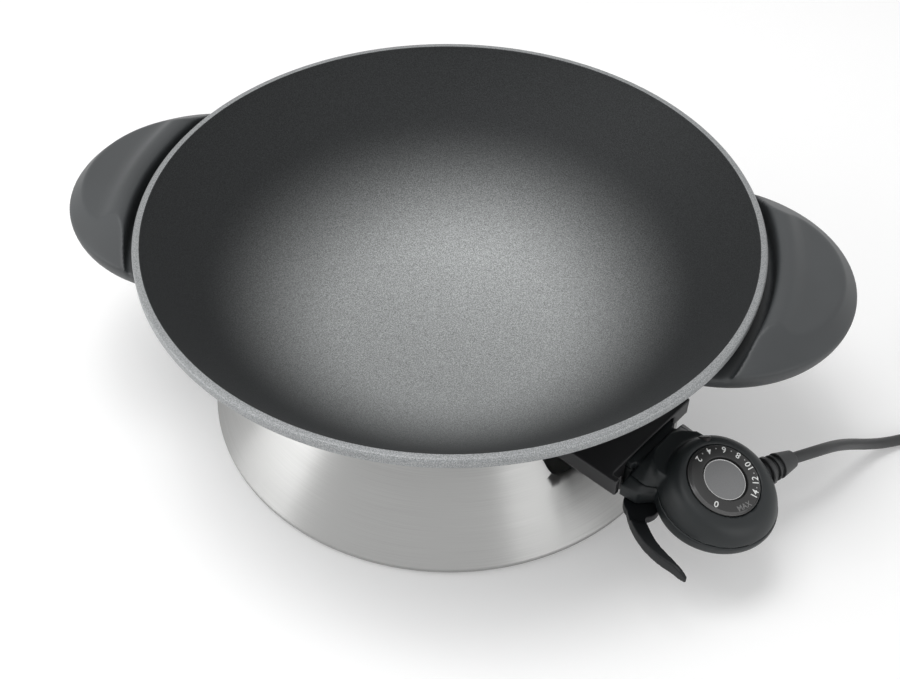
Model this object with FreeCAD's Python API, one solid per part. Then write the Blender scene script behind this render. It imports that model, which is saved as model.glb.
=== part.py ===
import FreeCAD, Part
import math
import os

# Electric wok on a flared stand, with a plug-in thermostat probe. Millimetres, +Z up.
# The origin is on the bowl's axis at the standing plane. +X runs through the right handle.

Vector = FreeCAD.Vector
up = Vector(0, 0, 1)

# Gaps between parts that touch, slide or turn
running_gap = 0.05
clear_gap = 0.3
seat_gap = 0.4

# Bowl: a spherical shell with a short outward lip
rim_radius = 185.0
rim_width = 4.5
rim_round = 1.6
lip_height = 6.0
bowl_depth = 99.6
bowl_wall = 5.0

# Stand: spun wall with a rolled hem, feet under it, and a ledge that carries the bowl's seat rib
hem_circle_radius = 151.3
hem_radius = 3.0
hem_height = 4.6
hem_meeting_angle = 32.0
stand_wall = 1.5
stand_height = 66.5
stand_waist_height = 36.0
stand_waist_inset = 18.7
rib_outer_radius = 105.4
rib_width = 6.0
rib_to_stand = 2.2
seat_drop = 7.5
seat_thickness = 3.0
seat_ledge_width = 14.0
seat_lip_width = 2.0
seat_lip_height = 3.0
bowl_below_seat = 17.0
notch_half_width = 42.5
notch_below_connector = 15.5
notch_corner = 6.0
foot_count = 4
foot_radius = 6.5
foot_round = 1.0
foot_inset = 10.8
foot_ring_width = 15.0
foot_ring_thickness = 3.0

# Handles: half-moon grips on cast lugs, measured from the rim
handle_outline_radius = 81.6
handle_depth = 52.5
handle_widest_drop = 12.6
handle_bottom_drop = 30.6
handle_bottom_round = 11.0
handle_bottom_bulge = 0.22
handle_bottom_rise = 0.42
handle_top_radius = 44.4
handle_top_shift = 18.4
handle_top_rise = 5.4
rim_gap = 5.5
handle_step_drop = 15.1
ridge_rise = 1.7
ridge_offset = 6.0
ridge_inner_drop = 1.2
ridge_outer_dip = 1.0
dish_drop = 3.9
dish_offset = 24.0
dish_outer_rise = 1.6
handle_sweep = 66.0
lug_half_width = 18.0
lug_length = 27.0
lug_drop = 24.6
lug_thickness = 6.0
lug_corner = 5.0
handle_screw_spacing = 20.0
handle_screw_reach = 18.0
handle_screw_radius = 2.5
handle_head_radius = 4.5
handle_head_height = 2.8

# Heating element cast into the bowl's ridge
element_circle_radius = 62.0
element_tube_radius = 4.0
element_rise = 7.5
element_gap_angle = 20.0
element_bend = 12.0
ridge_drop = 5.0
ridge_half_width = 5.5
ridge_draft = 2.0
insulator_radius = 5.0
insulator_length = 4.0
leg_rise_start = 74.0
leg_rise_end = 92.0

# Connector: pins and sensor lie along the probe's axis, one height above the bowl's bottom
probe_angle = -29.0
connector_rise = 14.0
pin_offset = 13.0
pin_radius = 2.5
pin_start = 116.0
pin_length = 23.0
pin_tip_round = 1.2
sensor_boss_start = 70.0
sensor_boss_end = 106.0
sensor_boss_half_width = 7.0
sensor_bore_end = 73.0

# Connector guard: a hood screwed under the bowl
guard_length = 50.0
guard_past_pins = 41.0
guard_half_width = 40.0
guard_above_connector = 14.0
guard_wall = 2.5
guard_skirt_height = 12.0
guard_skirt_length = 44.0
guard_cheek_length = 5.5
guard_cheek_width = 4.0
tunnel_half_width = 23.0
tunnel_below_connector = 9.5
guard_post_inset = 39.0
guard_post_offset = 32.5
guard_post_radius = 5.0
guard_screw_radius = 2.0
guard_screw_head_radius = 4.0
guard_screw_head_height = 2.2
guard_screw_length = 8.0

# Probe head: a round pod with a tilted top, and a neck that reaches into the guard.
# The neck's corners are given as distance from its start and distance from its middle line.
neck_to_guard = 3.0
neck_length = 45.0
neck_base_corners = ((0.0, 31.0), (11.5, 29.8), (18.5, 22.0), (45.0, 21.5))
neck_crest_corners = ((4.5, 7.0), (7.8, 13.8), (15.0, 19.5), (45.0, 20.5))
neck_end_length = 10.0
neck_side_height = 10.1
neck_height = 25.6
neck_edge = 2.0
throat_half_width = 18.0
throat_length = 6.0
pod_radius = 34.4
pod_depth = 10.0
pod_bottom_round = 4.0
pod_shoulder_radius = 32.3
pod_top_radius = 24.2
flare_steps = 6
seam_above_connector = 1.9
seam_step = 0.2
seam_tilt = 6.2
shell_wall = 2.5
snout_half_width = 21.0
snout_length = 32.0
snout_below_connector = 8.0
snout_above_connector = 10.5
nose_thickness = 2.5
nose_edge = 2.0

# Dial, tilted outward about the point where its cap's top meets the probe's axis
dial_shift = 1.5
dial_above_seam = 16.3
dial_tilt = 17.6
dial_ring_radius = 21.5
dial_ring_gap = 0.4
dial_ring_rise = 1.2
dial_ring_thickness = 4.3
dial_edge = 0.8
dial_cap_radius = 12.6
dial_cap_thickness = 1.6
dial_cap_edge = 0.5
dial_cap_gap = 0.7
dial_shaft_radius = 3.0
dial_shaft_length = 11.5
shell_top_drop = 0.4
dial_hub_radius = 6.5
dial_hub_depth = 9.0

# Thermostat, contacts and lamp inside the head
sensor_radius = 3.0
sensor_tip_gap = 4.0
sleeve_radius = 3.6
sleeve_length = 22.0
sleeve_end_wall = 2.0
arm_width = 3.0
arm_thickness = 1.6
arm_length = 26.0
thermostat_radius = 10.0
thermostat_top_depth = 9.5
thermostat_bottom_depth = 19.0
thermostat_frame_half_width = 15.0
thermostat_frame_height = 3.5
lens_radius = 3.4
lens_length = 3.4
lens_rise = 0.2
lens_edge = 0.6
lens_before_pod = 22.9
lens_across = 14.4
lens_above_dial = 4.8
lens_facing = (-0.51, 0.42, 0.75)
lamp_radius = 1.9
lamp_length = 5.5
lamp_tube_wall = 1.2
screw_radius = 1.5
screw_head_radius = 2.8
screw_head_height = 2.4
screw_head_depth = 0.4
screw_top_inset = 5.0
screw_boss_radius = 3.8
screw_rear_shift = -15.0
screw_rear_offset = 20.0
screw_front_shift = 22.0
screw_front_offset = 15.0

# Squeeze lever on its pin under the neck. Its edges are given from the pod's axis: out along
# the probe, and across towards the lever's side.
lever_pivot_shift = -33.5
lever_pivot_across = -23.5
lever_pin_radius = 1.6
lever_pin_depth = 8.0
lever_pin_head_radius = 4.0
lever_pin_head_height = 1.2
lever_boss_radius = 3.4
lever_hub_shift = -32.2
lever_hub_across = -25.4
lever_hub_radius = 10.7
lever_outer_radius = 50.2
lever_start_angle = -148.0
lever_end_angle = -84.0
lever_tip = ((13.4, 51.0), (14.5, 50.2), (13.6, 49.4))
lever_inner_edge = ((7.0, 47.2), (-3.0, 45.0), (-9.5, 43.0), (-15.5, 40.0), (-21.0, 36.5))
lever_height = 8.0
lever_hub_height = 6.0
lever_step_radius = 17.5
lever_toe_gap = 1.2
lever_toe_width = 3.5

# Mains lead
cord_radius = 3.5
boot_angle = 73.6
boot_slope = -4.0
boot_below_seam = 1.3
boot_flange_radius = 8.6
boot_flange_width = 3.0
boot_radius = 7.8
boot_end_radius = 5.4
boot_length = 22.1
boot_neck_radius = 6.0
boot_collar_radius = 7.0
boot_collar_depth = 8.5
boot_collar_width = 3.0
boot_flange_gap = 0.6
boot_groove_depth = 1.7
boot_groove_width = 2.8
boot_ring_width = 1.1
clamp_distance = 21.0
clamp_length = 5.0
clamp_width = 13.0
clamp_height = 8.0
coil_centre = (361.3, 88.6)
coil_turn_radius = 39.0
tail_height = 10.5
tie_width = 9.0
tie_thickness = 1.2
tie_angle = 120.0
plug_radius = 18.5
plug_length = 52.0
plug_disc_length = 18.0
plug_heading = 72.0
plug_pin_radius = 2.4
plug_pin_length = 19.0
plug_pin_spacing = 19.0
plug_pin_round = 1.5
earth_clip_width = 6.0
earth_clip_thickness = 1.0
earth_clip_length = 14.0

# Places that follow from the sizes above
foot_ring_bottom = hem_height + hem_radius + clear_gap
foot_circle_radius = hem_circle_radius - foot_inset
hem_foot_radius = hem_circle_radius + hem_radius * math.cos(math.radians(hem_meeting_angle))
hem_foot_height = hem_height + hem_radius * math.sin(math.radians(hem_meeting_angle))
stand_waist_radius = hem_circle_radius - stand_waist_inset
stand_top_radius = rib_outer_radius + rib_to_stand
seat_height = stand_height - seat_drop

bowl_bottom = seat_height - bowl_below_seat
rim_top = bowl_bottom + bowl_wall + bowl_depth
bowl_mouth = rim_radius - rim_width
bowl_inner_sphere = (bowl_mouth ** 2 + bowl_depth ** 2) / (2 * bowl_depth)
bowl_outer_sphere = bowl_inner_sphere + bowl_wall
sphere_centre = bowl_bottom + bowl_outer_sphere

handle_reach = rim_radius + handle_depth
handle_centre = handle_reach - handle_outline_radius
handle_widest_height = rim_top - handle_widest_drop
handle_bottom = rim_top - handle_bottom_drop
handle_step_height = rim_top - handle_step_drop
ridge_height = rim_top + ridge_rise
dish_height = rim_top - dish_drop
lug_bottom = rim_top - lug_drop
lug_reach = rim_radius + lug_length
handle_screw_distance = rim_radius + handle_screw_reach

element_height = bowl_bottom + element_rise
ridge_bottom = bowl_bottom + ridge_drop
connector_height = bowl_bottom + connector_rise
notch_floor = connector_height - notch_below_connector
pin_tip = pin_start + pin_length
guard_front = pin_start + guard_past_pins
guard_back = guard_front - guard_length
guard_skirt_back = guard_front - guard_skirt_length
guard_top = connector_height + guard_above_connector
tunnel_bottom = connector_height - tunnel_below_connector
guard_post_distance = guard_front - guard_post_inset

neck_start = guard_front + neck_to_guard
pod_centre = neck_start + neck_length
seam_height = connector_height + seam_above_connector
pod_bottom = seam_height - pod_depth
neck_top = pod_bottom + neck_height
seam_neck_height = seam_height + pod_radius * math.tan(math.radians(seam_tilt))
snout_start = neck_start - snout_length
snout_bottom = connector_height - snout_below_connector
snout_top = connector_height + snout_above_connector
dial_centre = pod_centre + dial_shift
dial_height = seam_height + dial_above_seam
sensor_tip = sensor_bore_end + sensor_tip_gap
sensor_end = neck_start
sleeve_end = snout_start + sleeve_length
arm_end = sleeve_end + arm_length
lens_seat = Vector(pod_centre - lens_before_pod, lens_across, dial_height + lens_above_dial)

lever_pivot_along = pod_centre + lever_pivot_shift
lever_hub_top = pod_bottom - seat_gap
lever_bottom = lever_hub_top - lever_hub_height

boot_end = pod_radius + boot_length
coil_outer_radius = coil_turn_radius + 2 * cord_radius
coil_inner_radius = coil_turn_radius - 2 * cord_radius
coil_height = 4 * cord_radius


# Shared shapes

def block(x_range, y_range, z_range):
    (x0, x1), (y0, y1), (z0, z1) = x_range, y_range, z_range
    return Part.makeBox(x1 - x0, y1 - y0, z1 - z0, Vector(x0, y0, z0))


def post(radius, x, y, bottom, top):
    return Part.makeCylinder(radius, top - bottom, Vector(x, y, bottom), up)


def ring(inner, outer, bottom, top):
    return post(outer, 0, 0, bottom, top).cut(post(inner, 0, 0, bottom, top))


def spun(face, angle=360.0):
    """A solid of revolution about the Z axis, centred on the face's own plane."""
    solid = face.revolve(Vector(), up, angle)
    solid.rotate(Vector(), up, -angle / 2 if angle < 360 else 0)
    return solid


def section(points):
    """A face in the XZ plane from (radius, height) corners."""
    corners = [Vector(x, 0, z) for x, z in points]
    return Part.Face(Part.makePolygon(corners + corners[:1]))


def wall_section(points, half_width):
    """A slab with an outline in the XZ plane, half_width to each side of it."""
    slab = section(points).extrude(Vector(0, 2 * half_width, 0))
    slab.translate(Vector(0, -half_width, 0))
    return slab


def turned(shape, angle, x=0.0, y=0.0):
    copy = shape.copy()
    copy.rotate(Vector(x, y, 0), up, angle)
    return copy


def in_probe_frame(shape):
    """From the probe's own frame, +X along its axis, into the wok's."""
    return turned(shape, probe_angle)


def on_dial(shape):
    """From a frame with the cap's top at its origin, tilted into the probe's frame."""
    copy = shape.copy()
    copy.rotate(Vector(), Vector(0, 1, 0), dial_tilt)
    copy.translate(Vector(dial_centre, 0, dial_height))
    return copy


def stood_along(shape, start, heading):
    """A shape modelled along +Z, laid from start along heading."""
    copy = shape.copy()
    copy.Placement = FreeCAD.Placement(start, FreeCAD.Rotation(up, heading)).multiply(copy.Placement)
    return copy


def filleted(shape, radius, chosen):
    return shape.makeFillet(radius, [edge for edge in shape.Edges if chosen(edge)])


def is_upright(edge):
    box = edge.BoundBox
    return box.XLength < 0.01 and box.YLength < 0.01 and box.ZLength > 1.0


def is_along_x(edge):
    box = edge.BoundBox
    return box.ZLength < 0.01 and box.YLength < 0.01 and box.XLength > 1.0


def tube(points, radius, bend=None):
    """A round bar on straight runs joined by tangent arcs, all of one bend or as wide as the runs allow."""
    points = [Vector(*point) for point in points]
    edges = []
    bends = []
    here = points[0]
    for before, corner, after in zip(points, points[1:], points[2:]):
        arriving = (corner - before).normalize()
        leaving = (after - corner).normalize()
        half_turn = arriving.getAngle(leaving) / 2
        reach = 0.45 * min(before.distanceToPoint(corner), corner.distanceToPoint(after))
        arc_radius = bend if bend else reach / math.tan(half_turn)
        reach = arc_radius * math.tan(half_turn)
        entry = corner - arriving * reach
        leave = corner + leaving * reach
        inward = (leaving - arriving).normalize()
        middle = corner + inward * (arc_radius / math.cos(half_turn) - arc_radius)
        edges.append(Part.LineSegment(here, entry).toShape())
        edges.append(Part.Arc(entry, middle, leave).toShape())
        bends.append(arc_radius)
        here = leave
    edges.append(Part.LineSegment(here, points[-1]).toShape())
    path = Part.Wire(edges)
    circle = Part.makeCircle(radius, points[0], points[1] - points[0])
    solid = path.makePipeShell([Part.Wire(circle)], True, False)
    expected = math.pi * radius ** 2 * path.Length
    print("tube: length %.1f, volume / expected %.4f" % (path.Length, solid.Volume / expected))
    print("arc radii:", ", ".join("%.0f" % value for value in bends))
    return solid


# Stand

def stand_inside(inset):
    """The volume inside the stand's flared wall, a given distance in from its outer face."""
    foot = Vector(hem_foot_radius - inset, 0, hem_foot_height)
    waist = Vector(stand_waist_radius - inset, 0, stand_waist_height)
    top = Vector(stand_top_radius - inset, 0, stand_height)
    on_axis = [Vector(0, 0, stand_height), Vector(0, 0, hem_foot_height)]
    flare = Part.Arc(foot, waist, top).toShape()
    lines = Part.makePolygon([top] + on_axis + [foot])
    return spun(Part.Face(Part.Wire([flare] + lines.Edges)))


def guard_notch():
    width = (-notch_half_width, notch_half_width)
    gap = block((rib_outer_radius / 2, rim_radius), width, (notch_floor, stand_height + notch_corner))
    return in_probe_frame(filleted(gap, notch_corner, is_along_x))


def stand_shell():
    wall = stand_inside(0).cut(stand_inside(stand_wall))
    hem = Part.makeTorus(hem_circle_radius, hem_radius, Vector(0, 0, hem_height))
    return wall.cut(guard_notch()).fuse(hem).removeSplitter()


def support_ring():
    ledge = ring(rib_outer_radius + seat_gap + seat_lip_width - seat_ledge_width, hem_circle_radius,
                 seat_height - seat_thickness, seat_height)
    lip_radius = rib_outer_radius + seat_gap
    lip = ring(lip_radius, lip_radius + seat_lip_width, seat_height, seat_height + seat_lip_height)
    return ledge.common(stand_inside(stand_wall)).fuse(lip).cut(guard_notch()).removeSplitter()


def foot_ring():
    inner = hem_circle_radius - foot_ring_width
    flat = ring(inner, rim_radius, foot_ring_bottom, foot_ring_bottom + foot_ring_thickness)
    return flat.common(stand_inside(stand_wall))


def feet():
    pad = post(foot_radius, foot_circle_radius, 0, 0, foot_ring_bottom)
    pad = filleted(pad, foot_round, lambda edge: edge.BoundBox.ZMax < 0.01)
    step = 360.0 / foot_count
    return [turned(pad, step * (index + 0.5)) for index in range(foot_count)]


# Bowl

def on_sphere(sphere, radius):
    return Vector(radius, 0, sphere_centre - math.sqrt(sphere ** 2 - radius ** 2))


def at_height(sphere, height):
    return Vector(math.sqrt(sphere ** 2 - (sphere_centre - height) ** 2), 0, height)


def inside_wall(radius):
    """A height in the middle of the bowl's wall at a radius."""
    return on_sphere(bowl_outer_sphere - bowl_wall / 2, radius).z


def arc_on_sphere(sphere, start, end):
    middle = on_sphere(sphere, (start.x + end.x) / 2)
    return Part.Arc(start, middle, end).toShape()


def rim_edges(inner_rim, under_lip):
    """The rim's flat top, its rounded corner and the lip's side."""
    slack = rim_round * (1 - math.sqrt(0.5))
    round_start = Vector(rim_radius - rim_round, 0, rim_top)
    round_middle = Vector(rim_radius - slack, 0, rim_top - slack)
    round_end = Vector(rim_radius, 0, rim_top - rim_round)
    lip_edge = Vector(rim_radius, 0, under_lip.z)
    return [
        Part.LineSegment(inner_rim, round_start).toShape(),
        Part.Arc(round_start, round_middle, round_end).toShape(),
        Part.LineSegment(round_end, lip_edge).toShape(),
        Part.LineSegment(lip_edge, under_lip).toShape(),
    ]


def bowl_shell():
    """The bowl's wall with its lip, and under it the ridge that the element is cast into."""
    inner_rim = at_height(bowl_inner_sphere, rim_top)
    under_lip = at_height(bowl_outer_sphere, rim_top - lip_height)
    inner_pole = on_sphere(bowl_inner_sphere, 0)
    outer_pole = on_sphere(bowl_outer_sphere, 0)
    ridge_inner = element_circle_radius - ridge_half_width
    ridge_outer = element_circle_radius + ridge_half_width
    ridge_outer_root = on_sphere(bowl_outer_sphere, ridge_outer + ridge_draft)
    ridge_inner_root = on_sphere(bowl_outer_sphere, ridge_inner - ridge_draft)
    ridge = Part.makePolygon([
        ridge_outer_root,
        Vector(ridge_outer, 0, ridge_bottom),
        Vector(ridge_inner, 0, ridge_bottom),
        ridge_inner_root,
    ])
    edges = [arc_on_sphere(bowl_inner_sphere, inner_pole, inner_rim)]
    edges += rim_edges(inner_rim, under_lip)
    edges += [arc_on_sphere(bowl_outer_sphere, under_lip, ridge_outer_root)] + ridge.Edges
    edges += [arc_on_sphere(bowl_outer_sphere, ridge_inner_root, outer_pole)]
    edges += [Part.LineSegment(outer_pole, inner_pole).toShape()]
    return spun(Part.Face(Part.Wire(edges)))


def seat_rib():
    inner = rib_outer_radius - rib_width
    corners = [
        (inner, seat_height),
        (rib_outer_radius, seat_height),
        (rib_outer_radius, inside_wall(rib_outer_radius)),
        (inner, inside_wall(inner)),
    ]
    return spun(section(corners)).cut(guard_notch())


def sensor_boss():
    floor = connector_height - sensor_boss_half_width
    corners = [
        (sensor_boss_start, floor),
        (sensor_boss_end, floor),
        (sensor_boss_end, inside_wall(sensor_boss_end)),
        (sensor_boss_start, inside_wall(sensor_boss_start)),
    ]
    return in_probe_frame(wall_section(corners, sensor_boss_half_width))


def sensor_bore():
    start = Vector(sensor_bore_end, 0, connector_height)
    length = sensor_boss_end - sensor_bore_end
    return in_probe_frame(Part.makeCylinder(sensor_radius + clear_gap, length, start, Vector(1, 0, 0)))


def guard_post(side):
    y = side * guard_post_offset
    top = inside_wall(math.hypot(guard_post_distance, guard_post_offset))
    return in_probe_frame(post(guard_post_radius, guard_post_distance, y, guard_top, top))


def lug_block(gap=0.0):
    start = at_height(bowl_outer_sphere - bowl_wall, lug_bottom).x
    width = (-lug_half_width - gap, lug_half_width + gap)
    return block((start, lug_reach + gap), width, (lug_bottom - gap, lug_bottom + lug_thickness + gap))


def lug():
    blank = filleted(lug_block(), lug_corner,
                     lambda edge: is_upright(edge) and edge.BoundBox.XMin > rim_radius)
    inner = Part.makeSphere(bowl_outer_sphere - bowl_wall / 2, Vector(0, 0, sphere_centre))
    return blank.cut(inner)


def wok_bowl():
    cast_on = [seat_rib(), sensor_boss(), guard_post(1), guard_post(-1), lug(), turned(lug(), 180)]
    bowl = bowl_shell().fuse(cast_on)
    for cutter in [sensor_bore()] + heating_element() + guard_screws() + handle_screws():
        bowl = bowl.cut(cutter)
    return bowl.removeSplitter()


# Heating element and its terminals

def element_leg(side):
    start_angle = math.radians(element_gap_angle)
    start = Vector(math.cos(start_angle), math.sin(start_angle), 0) * element_circle_radius
    slope = (start.y - pin_offset) / math.cos(start_angle)
    corner_x = start.x + slope * math.sin(start_angle)
    points = [
        (start.x, side * start.y, element_height),
        (corner_x, side * pin_offset, element_height),
        (leg_rise_start, side * pin_offset, element_height),
        (leg_rise_end, side * pin_offset, connector_height),
        (pin_start - insulator_length, side * pin_offset, connector_height),
    ]
    return tube(points, element_tube_radius, element_bend)


def heating_element():
    coil = Part.makeTorus(element_circle_radius, element_tube_radius, Vector(0, 0, element_height), up,
                          0, 360, 360 - 2 * element_gap_angle)
    coil = turned(coil, element_gap_angle)
    return [in_probe_frame(coil.fuse([element_leg(1), element_leg(-1)]).removeSplitter())]


def along_axis(radius, start, end, across, height=connector_height):
    return Part.makeCylinder(radius, end - start, Vector(start, across, height), Vector(1, 0, 0))


def terminal_insulators():
    start = pin_start - insulator_length
    return [in_probe_frame(along_axis(insulator_radius, start, pin_start, side * pin_offset))
            for side in (1, -1)]


def terminal_pins():
    pins = []
    for side in (1, -1):
        pin = along_axis(pin_radius, pin_start, pin_tip, side * pin_offset)
        pin = filleted(pin, pin_tip_round, lambda edge: edge.BoundBox.XMin > pin_tip - 0.01)
        pins.append(in_probe_frame(pin))
    return pins


# Connector guard

def connector_guard():
    plate_bottom = guard_top - guard_wall
    width = (-guard_half_width, guard_half_width)
    inner_width = (-guard_half_width + guard_wall, guard_half_width - guard_wall)
    plate = block((guard_back, guard_front), width, (plate_bottom, guard_top))
    skirt = block((guard_skirt_back, guard_front), width, (guard_top - guard_skirt_height, plate_bottom))
    skirt = skirt.cut(block((0, guard_front - guard_wall), inner_width, (0, plate_bottom)))
    outer_half = tunnel_half_width + guard_wall
    tunnel = block((guard_back, guard_front), (-outer_half, outer_half),
                   (tunnel_bottom - guard_wall, plate_bottom))
    cheek = block((guard_front - guard_wall, guard_front + guard_cheek_length),
                  (-guard_half_width, guard_cheek_width - guard_half_width),
                  (guard_top - guard_skirt_height, guard_top))
    hood = plate.fuse([skirt, tunnel, cheek]).removeSplitter()
    passage = block((0, rim_radius), (-tunnel_half_width, tunnel_half_width), (tunnel_bottom, plate_bottom))
    bowl_room = Part.makeSphere(bowl_outer_sphere + clear_gap, Vector(0, 0, sphere_centre))
    hood = in_probe_frame(hood.cut(passage)).cut(bowl_room)
    for screw in guard_screws():
        hood = hood.cut(screw)
    return hood


def guard_screws():
    screws = []
    plate_bottom = guard_top - guard_wall
    for side in (1, -1):
        y = side * guard_post_offset
        head = post(guard_screw_head_radius, guard_post_distance, y,
                    plate_bottom - guard_screw_head_height, plate_bottom)
        shank = post(guard_screw_radius, guard_post_distance, y,
                     plate_bottom, plate_bottom + guard_screw_length)
        screws.append(in_probe_frame(head.fuse(shank)))
    return screws


# Handles

def handle_skirt():
    """The grip's outer form: a rounded underside and a slanted skirt that narrows to the top."""
    low = Vector(handle_outline_radius - handle_bottom_round, 0, handle_bottom)
    wide = Vector(handle_outline_radius, 0, handle_widest_height)
    middle = Vector(handle_outline_radius - handle_bottom_round * handle_bottom_bulge, 0,
                    handle_bottom + (handle_widest_height - handle_bottom) * handle_bottom_rise)
    side = Part.Arc(low, middle, wide).toShape()
    lines = Part.makePolygon([wide, Vector(0, 0, handle_widest_height), Vector(0, 0, handle_bottom), low])
    lower = spun(Part.Face(Part.Wire([side] + lines.Edges)))
    lower.translate(Vector(handle_centre, 0, 0))
    wide_circle = Part.makeCircle(handle_outline_radius, Vector(handle_centre, 0, handle_widest_height), up)
    top_centre = Vector(handle_centre + handle_top_shift, 0, rim_top + handle_top_rise)
    top_circle = Part.makeCircle(handle_top_radius, top_centre, up)
    upper = Part.makeLoft([Part.Wire(wide_circle), Part.Wire(top_circle)], True, True)
    return lower.fuse(upper)


def handle_crown():
    """The top's form around the wok's axis: a ridge beside the rim, then a shallow dish."""
    inner = rim_radius + rim_gap
    ridge = inner + ridge_offset
    dish = inner + dish_offset
    outer = handle_reach + rim_gap
    top_points = [
        Vector(inner, 0, dish_height),
        Vector(inner + ridge_offset * 0.4, 0, ridge_height - ridge_inner_drop),
        Vector(ridge, 0, ridge_height),
        Vector((ridge + dish) / 2, 0, (ridge_height + dish_height) / 2 - ridge_outer_dip),
        Vector(dish, 0, dish_height),
        Vector(outer, 0, dish_height + dish_outer_rise),
    ]
    top = Part.BSplineCurve()
    top.interpolate(top_points)
    start = rim_radius - rim_gap * 4
    lines = Part.makePolygon([
        top_points[-1],
        Vector(outer, 0, handle_bottom),
        Vector(start, 0, handle_bottom),
        Vector(start, 0, handle_step_height),
        Vector(inner, 0, handle_step_height),
        top_points[0],
    ])
    return spun(Part.Face(Part.Wire([top.toShape()] + lines.Edges)), handle_sweep)


def right_handle():
    grip = handle_skirt().common(handle_crown())
    bowl_room = Part.makeSphere(bowl_outer_sphere + clear_gap, Vector(0, 0, sphere_centre))
    grip = grip.cut(bowl_room).cut(lug_block(clear_gap))
    for screw in handle_screws():
        grip = grip.cut(screw)
    return grip


def left_handle():
    return turned(right_handle(), 180)


def handle_screws():
    head_top = handle_bottom + handle_head_height
    screws = []
    for side in (1, -1):
        y = side * handle_screw_spacing / 2
        head = post(handle_head_radius, handle_screw_distance, y, handle_bottom, head_top)
        shank = post(handle_screw_radius, handle_screw_distance, y, head_top, lug_bottom + lug_thickness)
        screws.append(head.fuse(shank))
    return screws + [turned(screw, 180) for screw in screws]


# Probe housing

def pod_ring(along, height, radius, tilt):
    """One cross-section of the pod, its plane tipped outward by tilt."""
    angle = math.radians(tilt)
    normal = Vector(math.sin(angle), 0, math.cos(angle))
    return Part.Wire(Part.Circle(Vector(along, 0, height), normal, radius).toShape())


def pod_flare(inset):
    """The pod above its seam: rings that widen and level out from the dial's rim to the seam."""
    tilt = math.radians(dial_tilt)
    top_along = dial_centre - shell_top_drop * math.sin(tilt)
    top_height = dial_height - shell_top_drop * math.cos(tilt)
    seam_radius = pod_radius - seam_step
    rings = []
    for step in range(flare_steps + 1):
        share = step / flare_steps
        rest = 1 - share
        fall = share ** 2
        radius = rest ** 2 * pod_top_radius + 2 * share * rest * pod_shoulder_radius + fall * seam_radius
        along = top_along + fall * (pod_centre - top_along)
        height = top_height + fall * (seam_height - top_height) - inset * (1 - fall)
        rings.append(pod_ring(along, height, radius - inset, dial_tilt + fall * (seam_tilt - dial_tilt)))
    return Part.makeLoft(rings, True, False)


def pod_pan(inset):
    """The pod's round pan, taken up past its seam."""
    radius = pod_radius - inset
    floor = pod_bottom + inset
    low = Vector(radius - pod_bottom_round, 0, floor)
    high = Vector(radius, 0, floor + pod_bottom_round)
    slack = pod_bottom_round * (1 - math.sqrt(0.5))
    corner = Part.Arc(low, Vector(radius - slack, 0, floor + slack), high).toShape()
    lines = Part.makePolygon([high, Vector(radius, 0, neck_top), Vector(0, 0, neck_top),
                              Vector(0, 0, floor), low])
    pan = spun(Part.Face(Part.Wire([corner] + lines.Edges)))
    pan.translate(Vector(pod_centre, 0, 0))
    return pan


def below_seam():
    """All that lies under the seam, which is level along the neck and falls outward across the pod."""
    start = snout_start - nose_thickness
    end = pod_centre + 2 * pod_radius
    fall = seam_neck_height - seam_height
    corners = [
        (start, 0),
        (end, 0),
        (end, seam_height - 2 * fall),
        (pod_centre - pod_radius, seam_neck_height),
        (start, seam_neck_height),
    ]
    return wall_section(corners, 2 * pod_radius)


def neck_outline(corners, inset, height):
    side = [(neck_start + x + (inset if x < neck_end_length else 0), y - inset) for x, y in corners]
    points = [Vector(x, y, height) for x, y in side]
    points += [Vector(x, -y, height) for x, y in reversed(side)]
    return Part.makePolygon(points + points[:1])


def neck(inset):
    """The neck's upright sides, the slope from them up to a narrow crest, and the snout with its throat."""
    floor = pod_bottom + inset
    shoulder = pod_bottom + neck_side_height
    base = neck_outline(neck_base_corners, inset, floor)
    sides = Part.Face(base).extrude(Vector(0, 0, shoulder - floor))
    if inset == 0:
        sides = filleted(sides, neck_edge, lambda edge: edge.BoundBox.ZMax < floor + 0.01
                         and edge.BoundBox.XLength > 1 and edge.BoundBox.XMax < pod_centre - 1)
    slope = Part.makeLoft([neck_outline(neck_base_corners, inset, shoulder),
                           neck_outline(neck_crest_corners, inset, neck_top - inset)], True, True)
    heights = (snout_bottom + inset, snout_top - inset)
    snout = block((snout_start - inset, neck_start - inset),
                  (-snout_half_width + inset, snout_half_width - inset), heights)
    throat = block((neck_start - 2 * inset, neck_start + throat_length + inset),
                   (-throat_half_width + inset, throat_half_width - inset), heights)
    return sides.fuse([slope, snout, throat])


def screw_places():
    pairs = ((screw_rear_shift, screw_rear_offset), (screw_front_shift, screw_front_offset))
    return [(pod_centre + shift, side * offset) for shift, offset in pairs for side in (1, -1)]


def shell_screws():
    screws = []
    head_bottom = pod_bottom + screw_head_depth
    head_top = head_bottom + screw_head_height
    for x, y in screw_places():
        head = post(screw_head_radius, x, y, head_bottom, head_top)
        shank = post(screw_radius, x, y, head_top, seam_height + screw_top_inset)
        screws.append(head.fuse(shank))
    return screws


def boot_heading():
    across = math.radians(boot_angle)
    slope = math.radians(boot_slope)
    return Vector(math.cos(across) * math.cos(slope), math.sin(across) * math.cos(slope), math.sin(slope))


def boot_point(distance):
    """A point on the lead's exit line, counted from the pod's axis."""
    heading = boot_heading()
    exit_height = seam_height - boot_below_seam - heading.z * pod_radius
    return Vector(pod_centre, 0, exit_height) + heading * distance


def lens_frame(shape):
    """Seat on the pod's shoulder beside the neck, facing up and out."""
    return stood_along(shape, lens_seat, Vector(*lens_facing).normalize())


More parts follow.
